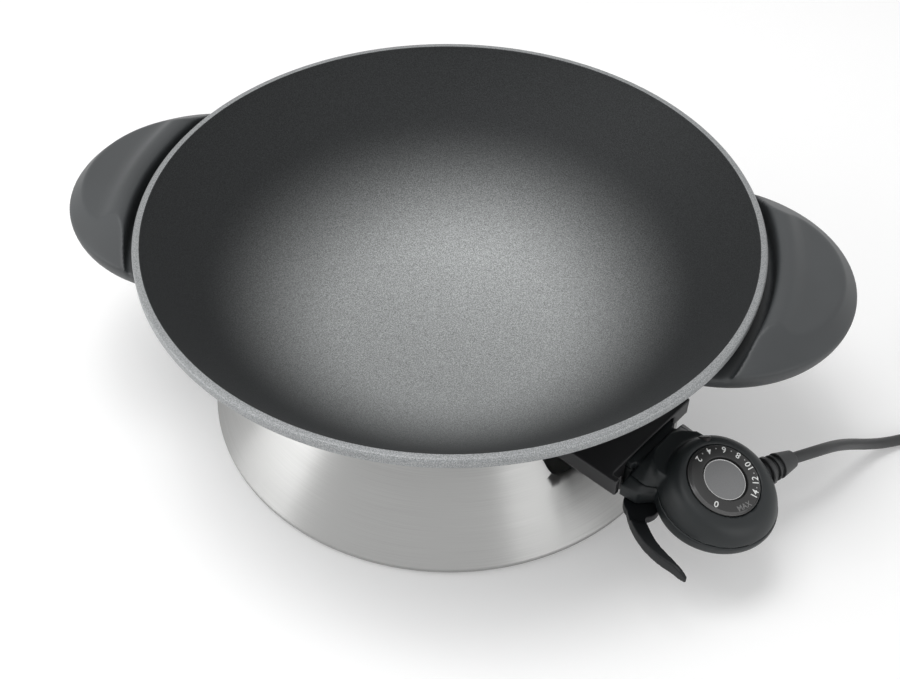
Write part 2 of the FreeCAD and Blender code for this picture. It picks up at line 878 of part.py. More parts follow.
def indicator_lens():
    lens = Part.makeCylinder(lens_radius, lens_length, Vector(0, 0, lens_rise - lens_length))
    return lens_frame(filleted(lens, lens_edge, lambda edge: edge.BoundBox.ZMin > lens_rise - 0.01))


def indicator_lamp():
    top = lens_rise - lens_length
    return lens_frame(Part.makeCylinder(lamp_radius, lamp_length, Vector(0, 0, top - lamp_length)))


def lamp_tube():
    """A short tube inside the housing that holds lens and lamp."""
    depth = lens_length + lamp_length - lens_rise
    return lens_frame(Part.makeCylinder(lens_radius + lamp_tube_wall, depth, Vector(0, 0, -depth)))


def lamp_bore():
    depth = lens_length + lamp_length
    wide = Part.makeCylinder(lens_radius, lens_length + lens_rise, Vector(0, 0, lens_rise - lens_length))
    narrow = Part.makeCylinder(lamp_radius, depth + lens_rise, Vector(0, 0, lens_rise - depth))
    return lens_frame(wide.fuse(narrow))


def dial_recess():
    depth = dial_ring_thickness - dial_ring_rise + clear_gap
    radius = dial_ring_radius + dial_ring_gap
    return on_dial(Part.makeCylinder(radius, depth + pod_depth, Vector(0, 0, -depth)))


def dial_hub():
    depth = dial_ring_thickness - dial_ring_rise + clear_gap
    return on_dial(Part.makeCylinder(dial_hub_radius, dial_hub_depth - depth, Vector(0, 0, -dial_hub_depth)))


def dial_bore():
    return on_dial(Part.makeCylinder(dial_shaft_radius + running_gap, pod_radius, Vector(0, 0, -pod_radius)))


def gland_bore():
    """The hole that the boot's neck sits in, with room behind it for the boot's collar."""
    start = pod_radius - boot_collar_depth
    neck = Part.makeCylinder(boot_neck_radius, boot_collar_depth + boot_radius)
    collar = Part.makeCylinder(boot_collar_radius + clear_gap, boot_collar_width + 2 * clear_gap,
                               Vector(0, 0, -clear_gap))
    return stood_along(neck.fuse(collar), boot_point(start), boot_heading())


def probe_upper_shell():
    outer = pod_flare(0).fuse(neck(0).cut(below_seam()))
    above_hollow = on_dial(post(rim_radius, 0, 0, -dial_ring_thickness - shell_wall, rim_radius))
    hollow = pod_flare(shell_wall).fuse(neck(shell_wall)).cut(above_hollow)
    shell = outer.cut(hollow)
    room = pod_flare(shell_wall / 2)
    bosses = [post(screw_boss_radius, x, y, pod_bottom, neck_top).common(room) for x, y in screw_places()]
    shell = shell.fuse(bosses + [dial_hub(), lamp_tube().common(outer)])
    for cutter in [dial_recess(), dial_bore(), lamp_bore(), gland_bore()] + shell_screws():
        shell = shell.cut(cutter)
    return shell


def lever_pin():
    """A headed pin pushed up through the lever's hub into the lower shell."""
    head_top = lever_bottom - clear_gap
    head = post(lever_pin_head_radius, lever_pivot_along, lever_pivot_across,
                head_top - lever_pin_head_height, head_top)
    shank = post(lever_pin_radius, lever_pivot_along, lever_pivot_across,
                 head_top, pod_bottom + lever_pin_depth)
    return [head.fuse(shank)]


def probe_lower_shell():
    outer = pod_pan(0).fuse(neck(0)).common(below_seam())
    shell = outer.cut(pod_pan(shell_wall).fuse(neck(shell_wall)))
    bosses = [post(screw_boss_radius, x, y, pod_bottom + shell_wall / 2, neck_top) for x, y in screw_places()]
    pin_boss = post(lever_boss_radius, lever_pivot_along, lever_pivot_across, pod_bottom,
                    pod_bottom + lever_pin_depth + shell_wall)
    shell = shell.fuse([part.common(outer) for part in bosses + [pin_boss]])
    head_top = pod_bottom + screw_head_depth + screw_head_height
    head_holes = [post(screw_head_radius, x, y, 0, head_top) for x, y in screw_places()]
    for cutter in [gland_bore()] + shell_screws() + lever_pin() + head_holes:
        shell = shell.cut(cutter)
    return shell.removeSplitter()


def probe_nose():
    plate = block((snout_start - nose_thickness, snout_start), (-snout_half_width, snout_half_width),
                  (snout_bottom, snout_top))
    plate = filleted(plate, nose_edge, is_along_x)
    plate = plate.cut(along_axis(sensor_radius, 0, sensor_end, 0))
    for side in (1, -1):
        plate = plate.cut(along_axis(pin_radius + clear_gap, 0, sleeve_end, side * pin_offset))
    return plate


# Inside the probe

def sensor_sheath():
    rod = along_axis(sensor_radius, sensor_tip, sensor_end, 0)
    tip = Part.makeSphere(sensor_radius, Vector(sensor_tip, 0, connector_height))
    return rod.fuse(tip).removeSplitter()


def contact_sleeves():
    sleeves = []
    for side in (1, -1):
        barrel = along_axis(sleeve_radius, snout_start, sleeve_end, side * pin_offset)
        bore = along_axis(pin_radius + running_gap, 0, sleeve_end - sleeve_end_wall, side * pin_offset)
        sleeves.append(barrel.cut(bore))
    return sleeves


def contact_arms():
    heights = (connector_height + arm_thickness / 2, connector_height + arm_thickness * 1.5)
    half = arm_width / 2
    return [block((sleeve_end, arm_end), (side * pin_offset - half, side * pin_offset + half), heights)
            for side in (1, -1)]


def thermostat_body():
    """A ceramic switch stack under the dial's shaft, on a frame that meets the sensor and the contacts."""
    length = thermostat_bottom_depth - thermostat_top_depth
    stack = on_dial(Part.makeCylinder(thermostat_radius, length, Vector(0, 0, -thermostat_bottom_depth)))
    half = thermostat_frame_half_width
    frame = block((sensor_end, dial_centre), (-half, half),
                  (connector_height - thermostat_frame_height, connector_height + arm_thickness / 2))
    stack = stack.fuse(frame)
    return stack.cut(dial_bore()).removeSplitter()


def cord_clamp():
    clamp = block((clamp_distance - clamp_length, clamp_distance), (-clamp_width / 2, clamp_width / 2),
                  (seam_height - clamp_height / 2, seam_height + clamp_height / 2))
    clamp = turned(clamp, boot_angle)
    clamp.translate(Vector(pod_centre, 0, 0))
    return clamp


# Dial and lever

def dial_ring():
    base = dial_ring_rise - dial_ring_thickness
    disc = Part.makeCylinder(dial_ring_radius, dial_ring_thickness, Vector(0, 0, base))
    top_edges = [edge for edge in disc.Edges if edge.BoundBox.ZMin > dial_ring_rise - 0.01]
    disc = disc.makeChamfer(dial_edge, top_edges)
    well_radius = dial_cap_radius + dial_cap_gap
    well = Part.makeCylinder(well_radius, dial_ring_thickness, Vector(0, 0, -dial_cap_thickness))
    return on_dial(disc.cut(well))


def dial_cap():
    cap = Part.makeCylinder(dial_cap_radius, dial_cap_thickness, Vector(0, 0, -dial_cap_thickness))
    return on_dial(cap.makeChamfer(dial_cap_edge, [edge for edge in cap.Edges if edge.BoundBox.ZMin > -0.01]))


def dial_shaft():
    top = dial_ring_rise - dial_ring_thickness
    start = Vector(0, 0, top - dial_shaft_length)
    return on_dial(Part.makeCylinder(dial_shaft_radius, dial_shaft_length, start))


def lever_point(along, across):
    return Vector(pod_centre + along, -across, lever_bottom)


def lever_arc_point(angle):
    turn = math.radians(angle)
    return lever_point(lever_outer_radius * math.cos(turn), -lever_outer_radius * math.sin(turn))


def lever_blade():
    """A curved grip around the pod that narrows to a blunt tip."""
    start = lever_arc_point(lever_start_angle)
    end = lever_arc_point(lever_end_angle)
    middle = lever_arc_point((lever_start_angle + lever_end_angle) / 2)
    tip = [lever_point(*place) for place in lever_tip]
    inner_points = tip[-1:] + [lever_point(*place) for place in lever_inner_edge]
    inner = Part.BSplineCurve()
    inner.interpolate(inner_points)
    hub_centre = Vector(pod_centre + lever_hub_shift, lever_hub_across, lever_bottom)
    edges = [Part.Arc(start, middle, end).toShape(), Part.LineSegment(end, tip[0]).toShape(),
             Part.Arc(*tip).toShape(), inner.toShape()]
    edges += Part.makePolygon([inner_points[-1], hub_centre, start]).Edges
    return Part.Face(Part.Wire(edges)).extrude(Vector(0, 0, lever_height))


def release_lever():
    under_neck = post(lever_step_radius, lever_pivot_along, lever_pivot_across, lever_hub_top, neck_top)
    blade = lever_blade().cut(under_neck)
    hub = post(lever_hub_radius, pod_centre + lever_hub_shift, lever_hub_across, lever_bottom, lever_hub_top)
    toe_across = lever_pivot_across + lever_toe_width
    toe = block((guard_front + lever_toe_gap, lever_pivot_along), (lever_pivot_across, toe_across),
                (lever_bottom, lever_hub_top))
    pin_room = post(lever_pin_radius + running_gap, lever_pivot_along, lever_pivot_across, 0, seam_height)
    return blade.fuse([hub, toe]).cut(pin_room).removeSplitter()


# Mains lead

def cord_boot():
    """A tapered strain relief with two ring grooves and a collar held inside the housing."""
    collar_start = pod_radius - boot_collar_depth
    collar_end = collar_start + boot_collar_width
    flange = pod_radius + boot_flange_gap
    groove = boot_radius - boot_groove_depth
    first = flange + boot_flange_width
    second = first + boot_groove_width + boot_ring_width
    corners = [
        (0, collar_start),
        (boot_collar_radius, collar_start),
        (boot_collar_radius, collar_end),
        (boot_neck_radius, collar_end),
        (boot_neck_radius, flange),
        (boot_flange_radius, flange),
        (boot_flange_radius, first),
        (groove, first),
        (groove, first + boot_groove_width),
        (boot_radius, first + boot_groove_width),
        (boot_radius, second),
        (groove, second),
        (groove, second + boot_groove_width),
        (boot_radius, second + boot_groove_width),
        (boot_end_radius, boot_end),
        (0, boot_end),
    ]
    boot = spun(section(corners))
    return in_probe_frame(stood_along(boot, boot_point(0), boot_heading()))


def cord_route():
    """Hand-set points, in the wok's frame, from the boot's end down to the table and to the coil."""
    start = boot_point(boot_end)
    start = turned(Part.Vertex(start), probe_angle).Point
    return [
        tuple(start),
        (234.0, -48.8, 53.5),
        (246.0, -35.0, 45.5),
        (258.0, -19.5, 32.0),
        (271.0, -4.0, 17.0),
        (285.5, 9.5, 6.5),
        (301.5, 20.5, 3.5),
        (322.0, 31.5, 3.5),
        (345.5, 40.5, 3.5),
        (370.9, 47.2, 3.5),
    ]


def power_cord():
    return tube(cord_route(), cord_radius)


def cord_coil():
    x, y = coil_centre
    coil = ring(coil_inner_radius, coil_outer_radius, 0, coil_height)
    coil.translate(Vector(x, y, 0))
    return coil


def tail_route():
    return [(372.3, 47.6, tail_height), (389.9, 51.3, 12.5), (405.2, 60.8, 16.5), (414.9, 74.7, plug_radius)]


def cord_tail():
    return tube(tail_route(), cord_radius)


def cord_tie():
    """A clip over the coil's turns, open underneath."""
    outer = block((coil_inner_radius - tie_thickness, coil_outer_radius + tie_thickness),
                  (-tie_width / 2, tie_width / 2), (0, coil_height + tie_thickness))
    room = block((coil_inner_radius, coil_outer_radius), (-tie_width, tie_width), (-1, coil_height))
    clip = turned(outer, tie_angle)
    clip.translate(Vector(coil_centre[0], coil_centre[1], 0))
    clip = clip.cut(cord_coil())
    inner = turned(room, tie_angle)
    inner.translate(Vector(coil_centre[0], coil_centre[1], 0))
    return clip.cut(inner)


def on_plug(shape):
    """From a frame with the plug along +Z to its place on the table, its pins side by side."""
    heading = math.radians(plug_heading)
    forward = Vector(math.cos(heading), math.sin(heading), 0)
    copy = shape.copy()
    roll = FreeCAD.Rotation(up, forward.cross(up), forward, "ZXY")
    copy.Placement = FreeCAD.Placement(Vector(*tail_route()[-1]), roll).multiply(copy.Placement)
    return copy


def plug_body():
    disc_start = plug_length - plug_disc_length
    corners = [
        (0, 0), (5.5, 0), (7.5, disc_start * 0.3), (8.5, disc_start * 0.6), (11.0, disc_start * 0.85),
        (plug_radius - 1.5, disc_start), (plug_radius, disc_start + 1.5), (plug_radius, plug_length - 1),
        (plug_radius - 1, plug_length), (0, plug_length),
    ]
    body = on_plug(spun(section(corners)))
    for clip in plug_earth_clips():
        body = body.cut(clip)
    return body


def plug_pins():
    pins = []
    for side in (1, -1):
        start = Vector(0, side * plug_pin_spacing / 2, plug_length)
        pin = Part.makeCylinder(plug_pin_radius, plug_pin_length, start)
        tip = plug_length + plug_pin_length
        pins.append(on_plug(filleted(pin, plug_pin_round, lambda edge: edge.BoundBox.ZMin > tip - 0.01)))
    return pins


def plug_earth_clips():
    disc = Part.makeCylinder(plug_radius, plug_length)
    clips = []
    for side in (1, -1):
        edge = side * plug_radius
        strip = block((edge - earth_clip_thickness, edge + earth_clip_thickness),
                      (-earth_clip_width / 2, earth_clip_width / 2),
                      (plug_length - earth_clip_length, plug_length))
        clips.append(on_plug(strip.common(disc)))
    return clips


def save(name, shapes, in_probe=False):
    shapes = shapes if isinstance(shapes, list) else [shapes]
    if in_probe:
        shapes = [in_probe_frame(shape) for shape in shapes]
    solids = [solid for shape in shapes for solid in shape.Solids]
    whole = solids[0] if len(solids) == 1 else Part.makeCompound(solids)
    whole.exportStep("parts/" + name + ".step")
    print("%-22s solids %d  volume %9.0f  valid %s" % (name, len(solids), whole.Volume, whole.isValid()))


os.makedirs("parts", exist_ok=True)

save("stand_shell", stand_shell())
save("support_ring", support_ring())
save("foot_ring", foot_ring())
save("feet", feet())

save("wok_bowl", wok_bowl())
save("heating_element", heating_element())
save("terminal_insulators", terminal_insulators())
save("terminal_pins", terminal_pins())
save("connector_guard", connector_guard())
save("guard_screws", guard_screws())
save("right_handle", right_handle())
save("left_handle", left_handle())
save("handle_screws", handle_screws())

save("probe_upper_shell", probe_upper_shell(), in_probe=True)
save("probe_lower_shell", probe_lower_shell(), in_probe=True)
save("probe_nose", probe_nose(), in_probe=True)
save("shell_screws", shell_screws(), in_probe=True)
save("sensor_sheath", sensor_sheath(), in_probe=True)
save("contact_sleeves", contact_sleeves(), in_probe=True)
save("contact_arms", contact_arms(), in_probe=True)
save("thermostat_body", thermostat_body(), in_probe=True)
save("indicator_lens", indicator_lens(), in_probe=True)
save("indicator_lamp", indicator_lamp(), in_probe=True)
save("cord_clamp", cord_clamp(), in_probe=True)
save("lever_pin", lever_pin(), in_probe=True)

save("dial_ring", dial_ring(), in_probe=True)
save("dial_cap", dial_cap(), in_probe=True)
save("dial_shaft", dial_shaft(), in_probe=True)
save("release_lever", release_lever(), in_probe=True)

save("cord_boot", cord_boot())
save("power_cord", power_cord())
save("cord_coil", cord_coil())
save("cord_tail", cord_tail())
save("cord_tie", cord_tie())
save("plug_body", plug_body())
save("plug_pins", plug_pins())
save("plug_earth_clips", plug_earth_clips())
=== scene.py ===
import bpy
import bmesh
import math
from mathutils import Matrix, Vector


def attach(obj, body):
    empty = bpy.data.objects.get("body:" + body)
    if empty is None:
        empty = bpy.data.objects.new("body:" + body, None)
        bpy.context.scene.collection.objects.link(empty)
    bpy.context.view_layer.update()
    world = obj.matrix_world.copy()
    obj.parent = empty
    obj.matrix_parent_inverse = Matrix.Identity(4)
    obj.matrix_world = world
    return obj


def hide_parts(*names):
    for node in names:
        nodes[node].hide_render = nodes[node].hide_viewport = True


# Electric wok on a spun steel stand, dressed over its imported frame. Metres, +Z up.
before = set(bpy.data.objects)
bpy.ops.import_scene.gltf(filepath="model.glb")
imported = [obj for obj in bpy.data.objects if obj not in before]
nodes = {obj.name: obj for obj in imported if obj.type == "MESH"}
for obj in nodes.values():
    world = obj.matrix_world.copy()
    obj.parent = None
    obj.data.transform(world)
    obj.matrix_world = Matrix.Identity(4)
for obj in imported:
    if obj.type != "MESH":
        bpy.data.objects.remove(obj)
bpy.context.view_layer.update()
print("frame loaded:", len(nodes), "nodes")

# The probe's own frame: +X runs outward along the probe, turned round the bowl's axis
probeTurn = Matrix.Rotation(math.radians(-29.0), 4, "Z")


# Camera

view = {
    "place": (0.1244, -0.5361, 0.6066),
    "right": (0.9725, 0.2327, 0.0078),
    "up": (-0.1721, 0.6959, 0.6971),
    "forward": (-0.1568, 0.6793, -0.7169),
    "lens": 48.39,
    "sensor": 36.0,
    "nearest": 0.05,
}


def makeCamera():
    camera = bpy.data.objects.new("camera", bpy.data.cameras.new("camera"))
    bpy.context.scene.collection.objects.link(camera)
    camera.data.lens = view["lens"]
    camera.data.sensor_width = view["sensor"]
    turn = Matrix((view["right"], view["up"], [-v for v in view["forward"]])).transposed()
    camera.matrix_world = Matrix.Translation(view["place"]) @ turn.to_4x4()
    camera.data.clip_start = view["nearest"]
    bpy.context.scene.camera = camera


makeCamera()


# Mesh helpers: an outline is drawn in the XZ plane with a pen, then spun round the Z axis

weld = 1e-6  # points nearer than this are one point


def startOutline(x, z):
    bm = bmesh.new()
    return bm, bm.verts.new((x, 0, z))


def lineTo(bm, vert, x, z):
    made = bmesh.ops.extrude_vert_indiv(bm, verts=[vert])["verts"][0]
    made.co = (x, 0, z)
    return made


def arcTo(bm, vert, centreX, centreZ, degrees, steps):
    made = bmesh.ops.spin(bm, geom=[vert], cent=(centreX, 0, centreZ), axis=(0, 1, 0),
                          dvec=(0, 0, 0), angle=math.radians(degrees), steps=steps,
                          use_merge=False, use_duplicate=False)
    return [item for item in made["geom_last"] if isinstance(item, bmesh.types.BMVert)][0]


def drawOutline(bm, pen, points):
    for x, z in points:
        pen = lineTo(bm, pen, x, z)
    return pen


def closeOutline(bm, pen, first):
    bm.edges.new((pen, first))
    bmesh.ops.contextual_create(bm, geom=bm.edges[:])


def spinRound(bm, steps):
    bmesh.ops.spin(bm, geom=bm.verts[:] + bm.edges[:], cent=(0, 0, 0), axis=(0, 0, 1),
                   dvec=(0, 0, 0), angle=math.radians(360), steps=steps,
                   use_merge=True, use_duplicate=False)
    cleanFaces(bm)


def cleanFaces(bm):
    bmesh.ops.remove_doubles(bm, verts=bm.verts, dist=weld)
    bmesh.ops.recalc_face_normals(bm, faces=bm.faces)


def makePiece(name, bm, body, replaced=(), place=None, sharp=35.0):
    if place is not None:
        bmesh.ops.transform(bm, matrix=place, verts=bm.verts)
    mesh = bpy.data.meshes.new(name)
    bm.to_mesh(mesh)
    bm.free()
    piece = bpy.data.objects.new(name, mesh)
    bpy.context.scene.collection.objects.link(piece)
    mesh.shade_smooth()
    mesh.set_sharp_from_angle(angle=math.radians(sharp))
    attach(piece, body)
    if replaced:
        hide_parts(*replaced)
    return piece


def mergedMesh(mesh):
    bm = bmesh.new()
    bm.from_mesh(mesh)
    bmesh.ops.remove_doubles(bm, verts=bm.verts, dist=weld)
    return bm


def softCopy(name, node, body, voxel, passes, shape=None):
    # a merged copy of a solid with its edges eased, as moulding leaves them
    bm = mergedMesh(nodes[node].data)
    if shape is not None:
        shape(bm)
    piece = makePiece(name, bm, body, (node,), sharp=180.0)
    remesh = piece.modifiers.new("even", "REMESH")
    remesh.mode = "VOXEL"
    remesh.voxel_size = voxel
    remesh.use_smooth_shade = True
    ease = piece.modifiers.new("ease", "SMOOTH")
    ease.factor = 0.5
    ease.iterations = passes
    return piece


# Materials

def newMaterial(name):
    material = bpy.data.materials.new(name)
    material.use_nodes = True
    shader = material.node_tree.nodes["Principled BSDF"]
    return material, material.node_tree, shader


def noiseNode(tree, scale, detail=2.0, source=None):
    coords = tree.nodes.new("ShaderNodeTexCoord")
    noise = tree.nodes.new("ShaderNodeTexNoise")
    noise.inputs["Scale"].default_value = scale
    noise.inputs["Detail"].default_value = detail
    tree.links.new(source or coords.outputs["Object"], noise.inputs["Vector"])
    return noise


def rampNode(tree, source, stops):
    ramp = tree.nodes.new("ShaderNodeValToRGB")
    ramp.color_ramp.elements[0].position = stops[0][0]
    ramp.color_ramp.elements[0].color = (*stops[0][1], 1)
    ramp.color_ramp.elements[1].position = stops[-1][0]
    ramp.color_ramp.elements[1].color = (*stops[-1][1], 1)
    for position, colour in stops[1:-1]:
        ramp.color_ramp.elements.new(position).color = (*colour, 1)
    tree.links.new(source, ramp.inputs["Fac"])
    return ramp


def bumpNode(tree, shader, source, strength, distance):
    bump = tree.nodes.new("ShaderNodeBump")
    bump.inputs["Strength"].default_value = strength
    bump.inputs["Distance"].default_value = distance
    tree.links.new(source, bump.inputs["Height"])
    tree.links.new(bump.outputs["Normal"], shader.inputs["Normal"])


def greys(start, first, end, last):
    # two stops of one grey each, for a roughness that follows a pattern
    return [(start, [first] * 3), (end, [last] * 3)]


def speckled(name, dark, light, scale, roughness, metallic):
    # cast metal under a sprayed coat: fine grains of two greys
    material, tree, shader = newMaterial(name)
    grains = noiseNode(tree, scale, 3.0)
    ramp = rampNode(tree, grains.outputs["Fac"], [(0.38, dark), (0.66, light)])
    tree.links.new(ramp.outputs["Color"], shader.inputs["Base Color"])
    shader.inputs["Roughness"].default_value = roughness
    shader.inputs["Metallic"].default_value = metallic
    bumpNode(tree, shader, grains.outputs["Fac"], 0.3, 0.0004)
    return material


fleckLook = {
    "grain": 1500.0,
    "darkest": (0.36, (0.62, 0.62, 0.62)),
    "palest": (0.66, (1.5, 1.5, 1.5)),
    "roughness": 0.6,
    "metallic": 0.4,
    "specular": 0.35,
    "bump": 0.25,
}


def fleckedWithPaintedHighlight(name, floorColourWithPaintedHighlight, wallColour, fade):
    # non-stick coat with fine pale flecks; its colour is paler on the bowl's floor than up its
    # wall, a painted highlight standing in for the overhead lamp's reflection, to which the coat's
    # own gloss adds
    material, tree, shader = newMaterial(name)
    coords = tree.nodes.new("ShaderNodeTexCoord")
    flatten = tree.nodes.new("ShaderNodeVectorMath")
    flatten.operation = "MULTIPLY"
    flatten.inputs[1].default_value = (1.0, 1.0, 0.0)
    tree.links.new(coords.outputs["Object"], flatten.inputs[0])
    reach = tree.nodes.new("ShaderNodeVectorMath")
    reach.operation = "LENGTH"
    tree.links.new(flatten.outputs["Vector"], reach.inputs[0])
    spread = tree.nodes.new("ShaderNodeMapRange")
    spread.inputs["From Min"].default_value = fade[0]
    spread.inputs["From Max"].default_value = fade[1]
    spread.interpolation_type = "SMOOTHSTEP"
    tree.links.new(reach.outputs["Value"], spread.inputs["Value"])
    # the pale floor colour, fading out up the wall, is a painted highlight
    ramp = rampNode(tree, spread.outputs["Result"], [(0.0, floorColourWithPaintedHighlight), (1.0, wallColour)])
    grains = noiseNode(tree, fleckLook["grain"], 3.0)
    flecks = rampNode(tree, grains.outputs["Fac"], [fleckLook["darkest"], fleckLook["palest"]])
    tint = tree.nodes.new("ShaderNodeMix")
    tint.data_type = "RGBA"
    tint.blend_type = "MULTIPLY"
    tint.inputs["Factor"].default_value = 1.0
    tree.links.new(ramp.outputs["Color"], tint.inputs["A"])
    tree.links.new(flecks.outputs["Color"], tint.inputs["B"])
    tree.links.new(tint.outputs["Result"], shader.inputs["Base Color"])
    shader.inputs["Roughness"].default_value = fleckLook["roughness"]
    shader.inputs["Metallic"].default_value = fleckLook["metallic"]
    shader.inputs["Specular IOR Level"].default_value = fleckLook["specular"]
    bumpNode(tree, shader, grains.outputs["Fac"], fleckLook["bump"], 0.0003)
    return material


def moulded(name, colour, roughness, grain=900.0, bump=0.12, specular=0.5):
    # plastic with a fine tooling grain and slightly uneven gloss
    material, tree, shader = newMaterial(name)
    fine = noiseNode(tree, grain, 2.0)
    broad = noiseNode(tree, 22.0, 2.0)
    light = [min(1.0, value * 1.25 + 0.002) for value in colour]
    ramp = rampNode(tree, broad.outputs["Fac"], [(0.3, colour), (0.7, light)])
    tree.links.new(ramp.outputs["Color"], shader.inputs["Base Color"])
    gloss = rampNode(tree, broad.outputs["Fac"],
                     greys(0.3, roughness - 0.03, 0.7, roughness + 0.04))
    tree.links.new(gloss.outputs["Color"], shader.inputs["Roughness"])
    shader.inputs["Specular IOR Level"].default_value = specular
    bumpNode(tree, shader, fine.outputs["Fac"], bump, 0.0002)
    return material


brushing = {
    "along": 2.2,  # streaks round the axis
    "across": 5200.0,  # streaks up the wall, per metre
    "pull": 0.8,  # how far highlights stretch across the streaks
    "turn": 0.25,
    "bump": 0.05,
}


def turnedMetal(name, colour, roughness):
    # metal brushed round the bowl's axis: long streaks, each at its own height
    material, tree, shader = newMaterial(name)
    coords = tree.nodes.new("ShaderNodeTexCoord")
    split = tree.nodes.new("ShaderNodeSeparateXYZ")
    tree.links.new(coords.outputs["Object"], split.inputs[0])
    angle = tree.nodes.new("ShaderNodeMath")
    angle.operation = "ARCTAN2"
    tree.links.new(split.outputs["Y"], angle.inputs[0])
    tree.links.new(split.outputs["X"], angle.inputs[1])
    spread = tree.nodes.new("ShaderNodeMath")
    spread.operation = "MULTIPLY"
    spread.inputs[1].default_value = brushing["along"]
    tree.links.new(angle.outputs[0], spread.inputs[0])
    rows = tree.nodes.new("ShaderNodeMath")
    rows.operation = "MULTIPLY"
    rows.inputs[1].default_value = brushing["across"]
    tree.links.new(split.outputs["Z"], rows.inputs[0])
    join = tree.nodes.new("ShaderNodeCombineXYZ")
    tree.links.new(spread.outputs[0], join.inputs["X"])
    tree.links.new(rows.outputs[0], join.inputs["Z"])
    streaks = noiseNode(tree, 1.0, 4.0, join.outputs[0])
    dark = [value * 0.9 for value in colour]
    ramp = rampNode(tree, streaks.outputs["Fac"], [(0.3, dark), (0.7, colour)])
    tree.links.new(ramp.outputs["Color"], shader.inputs["Base Color"])
    gloss = rampNode(tree, streaks.outputs["Fac"],
                     greys(0.3, roughness + 0.06, 0.7, roughness - 0.04))
    tree.links.new(gloss.outputs["Color"], shader.inputs["Roughness"])
    shader.inputs["Metallic"].default_value = 1.0
    shader.inputs["Anisotropic"].default_value = brushing["pull"]
    shader.inputs["Anisotropic Rotation"].default_value = brushing["turn"]
    around = tree.nodes.new("ShaderNodeTangent")
    around.direction_type = "RADIAL"
    around.axis = "Z"
    tree.links.new(around.outputs[0], shader.inputs["Tangent"])
    bumpNode(tree, shader, streaks.outputs["Fac"], brushing["bump"], 0.00005)
    return material


def plainMetal(name, colour, roughness, grain=900.0):
    material, tree, shader = newMaterial(name)
    scratches = noiseNode(tree, grain, 4.0)
    dark = [value * 0.88 for value in colour]
    ramp = rampNode(tree, scratches.outputs["Fac"], [(0.35, dark), (0.65, colour)])
    tree.links.new(ramp.outputs["Color"], shader.inputs["Base Color"])
    gloss = rampNode(tree, scratches.outputs["Fac"],
                     greys(0.35, roughness + 0.08, 0.65, roughness))
    tree.links.new(gloss.outputs["Color"], shader.inputs["Roughness"])
    shader.inputs["Metallic"].default_value = 1.0
    return material


finishes = {
    # the non-stick coat's pale floor colour is a painted highlight of the overhead lamp
    "nonStickWithPaintedHighlight": fleckedWithPaintedHighlight("nonStickWithPaintedHighlight", (0.31, 0.32, 0.32), (0.020, 0.0215, 0.0225), (0.062, 0.152)),
    # the flat and the side of the rim carry one coat in two greys: the flat is painted darker,
    # painted shade, and the side lighter, painted light, so both render alike under the lamps
    "rimTop": speckled("rimTop", (0.175, 0.183, 0.187), (0.355, 0.363, 0.367), 1700.0, 0.5, 0.45),
    "rimSidePaintedLight": speckled("rimSidePaintedLight", (0.21, 0.22, 0.225), (0.42, 0.43, 0.435), 1700.0, 0.5, 0.45),
    "undersideCoat": speckled("undersideCoat", (0.10, 0.105, 0.11), (0.2, 0.205, 0.21),
                              2000.0, 0.55, 0.4),
    "spunSteel": turnedMetal("spunSteel", (0.40, 0.40, 0.395), 0.34),
    "darkSteel": plainMetal("darkSteel", (0.10, 0.10, 0.10), 0.5),
    "sheath": plainMetal("sheath", (0.34, 0.32, 0.29), 0.42),
    "nickel": plainMetal("nickel", (0.66, 0.65, 0.63), 0.24),
    "brass": plainMetal("brass", (0.72, 0.55, 0.26), 0.3),
    "screwSteel": plainMetal("screwSteel", (0.5, 0.5, 0.5), 0.3),
    "capMetal": plainMetal("capMetal", (0.215, 0.217, 0.22), 0.42, 3500.0),
    # the cap's edge ring is paler, glossier metal than its face: the paleness is a painted
    # highlight of the chamfer
    "capEdgeGlossAndPaintedHighlight": plainMetal("capEdgeGlossAndPaintedHighlight", (0.60, 0.60, 0.60), 0.22),
    "handleBlack": moulded("handleBlack", (0.030, 0.033, 0.035), 0.5),
    "headBlack": moulded("headBlack", (0.009, 0.0115, 0.0125), 0.45, specular=0.38),
    "guardBlack": moulded("guardBlack", (0.010, 0.010, 0.011), 0.4),
    # the lever is the head's plastic painted darker: painted shade for the shade it sits in under
    # the head
    "leverBlackPaintedShade": moulded("leverBlackPaintedShade", (0.004, 0.005, 0.006), 0.46, specular=0.28),
    "dialBlack": moulded("dialBlack", (0.018, 0.018, 0.018), 0.42),
    # the dial ring's chamfer: the ring's black plastic painted paler, a painted sheen for the
    # crescent of light the left lamp lays on it, and glossier as well
    "dialChamferGlossAndPaintedSheen": moulded("dialChamferGlossAndPaintedSheen", (0.06, 0.06, 0.06), 0.28, 600.0, 0.03, 0.7),
    "printWhite": moulded("printWhite", (0.72, 0.73, 0.72), 0.5, 600.0, 0.05),
    "printGrey": moulded("printGrey", (0.16, 0.16, 0.16), 0.5, 600.0, 0.05),
    "printPale": moulded("printPale", (0.38, 0.38, 0.38), 0.5, 600.0, 0.05),
    "leadBlack": moulded("leadBlack", (0.020, 0.021, 0.022), 0.5, 500.0, 0.1),
    "footBlack": moulded("footBlack", (0.018, 0.018, 0.018), 0.65, 500.0, 0.2),
    "ceramic": moulded("ceramic", (0.75, 0.73, 0.68), 0.6, 700.0, 0.1),
    "heatBoard": moulded("heatBoard", (0.10, 0.07, 0.045), 0.7, 400.0, 0.3),
    "lampRed": moulded("lampRed", (0.006, 0.003, 0.003), 0.32, 300.0, 0.02, 0.2),
    "lampGlass": moulded("lampGlass", (0.7, 0.68, 0.62), 0.12, 300.0, 0.02),
}
print("finishes made:", len(finishes))


def coat(piece, *names):
    while piece.data.materials:
        piece.data.materials.pop(index=0)
    for name in names:
        piece.data.materials.append(finishes[name])


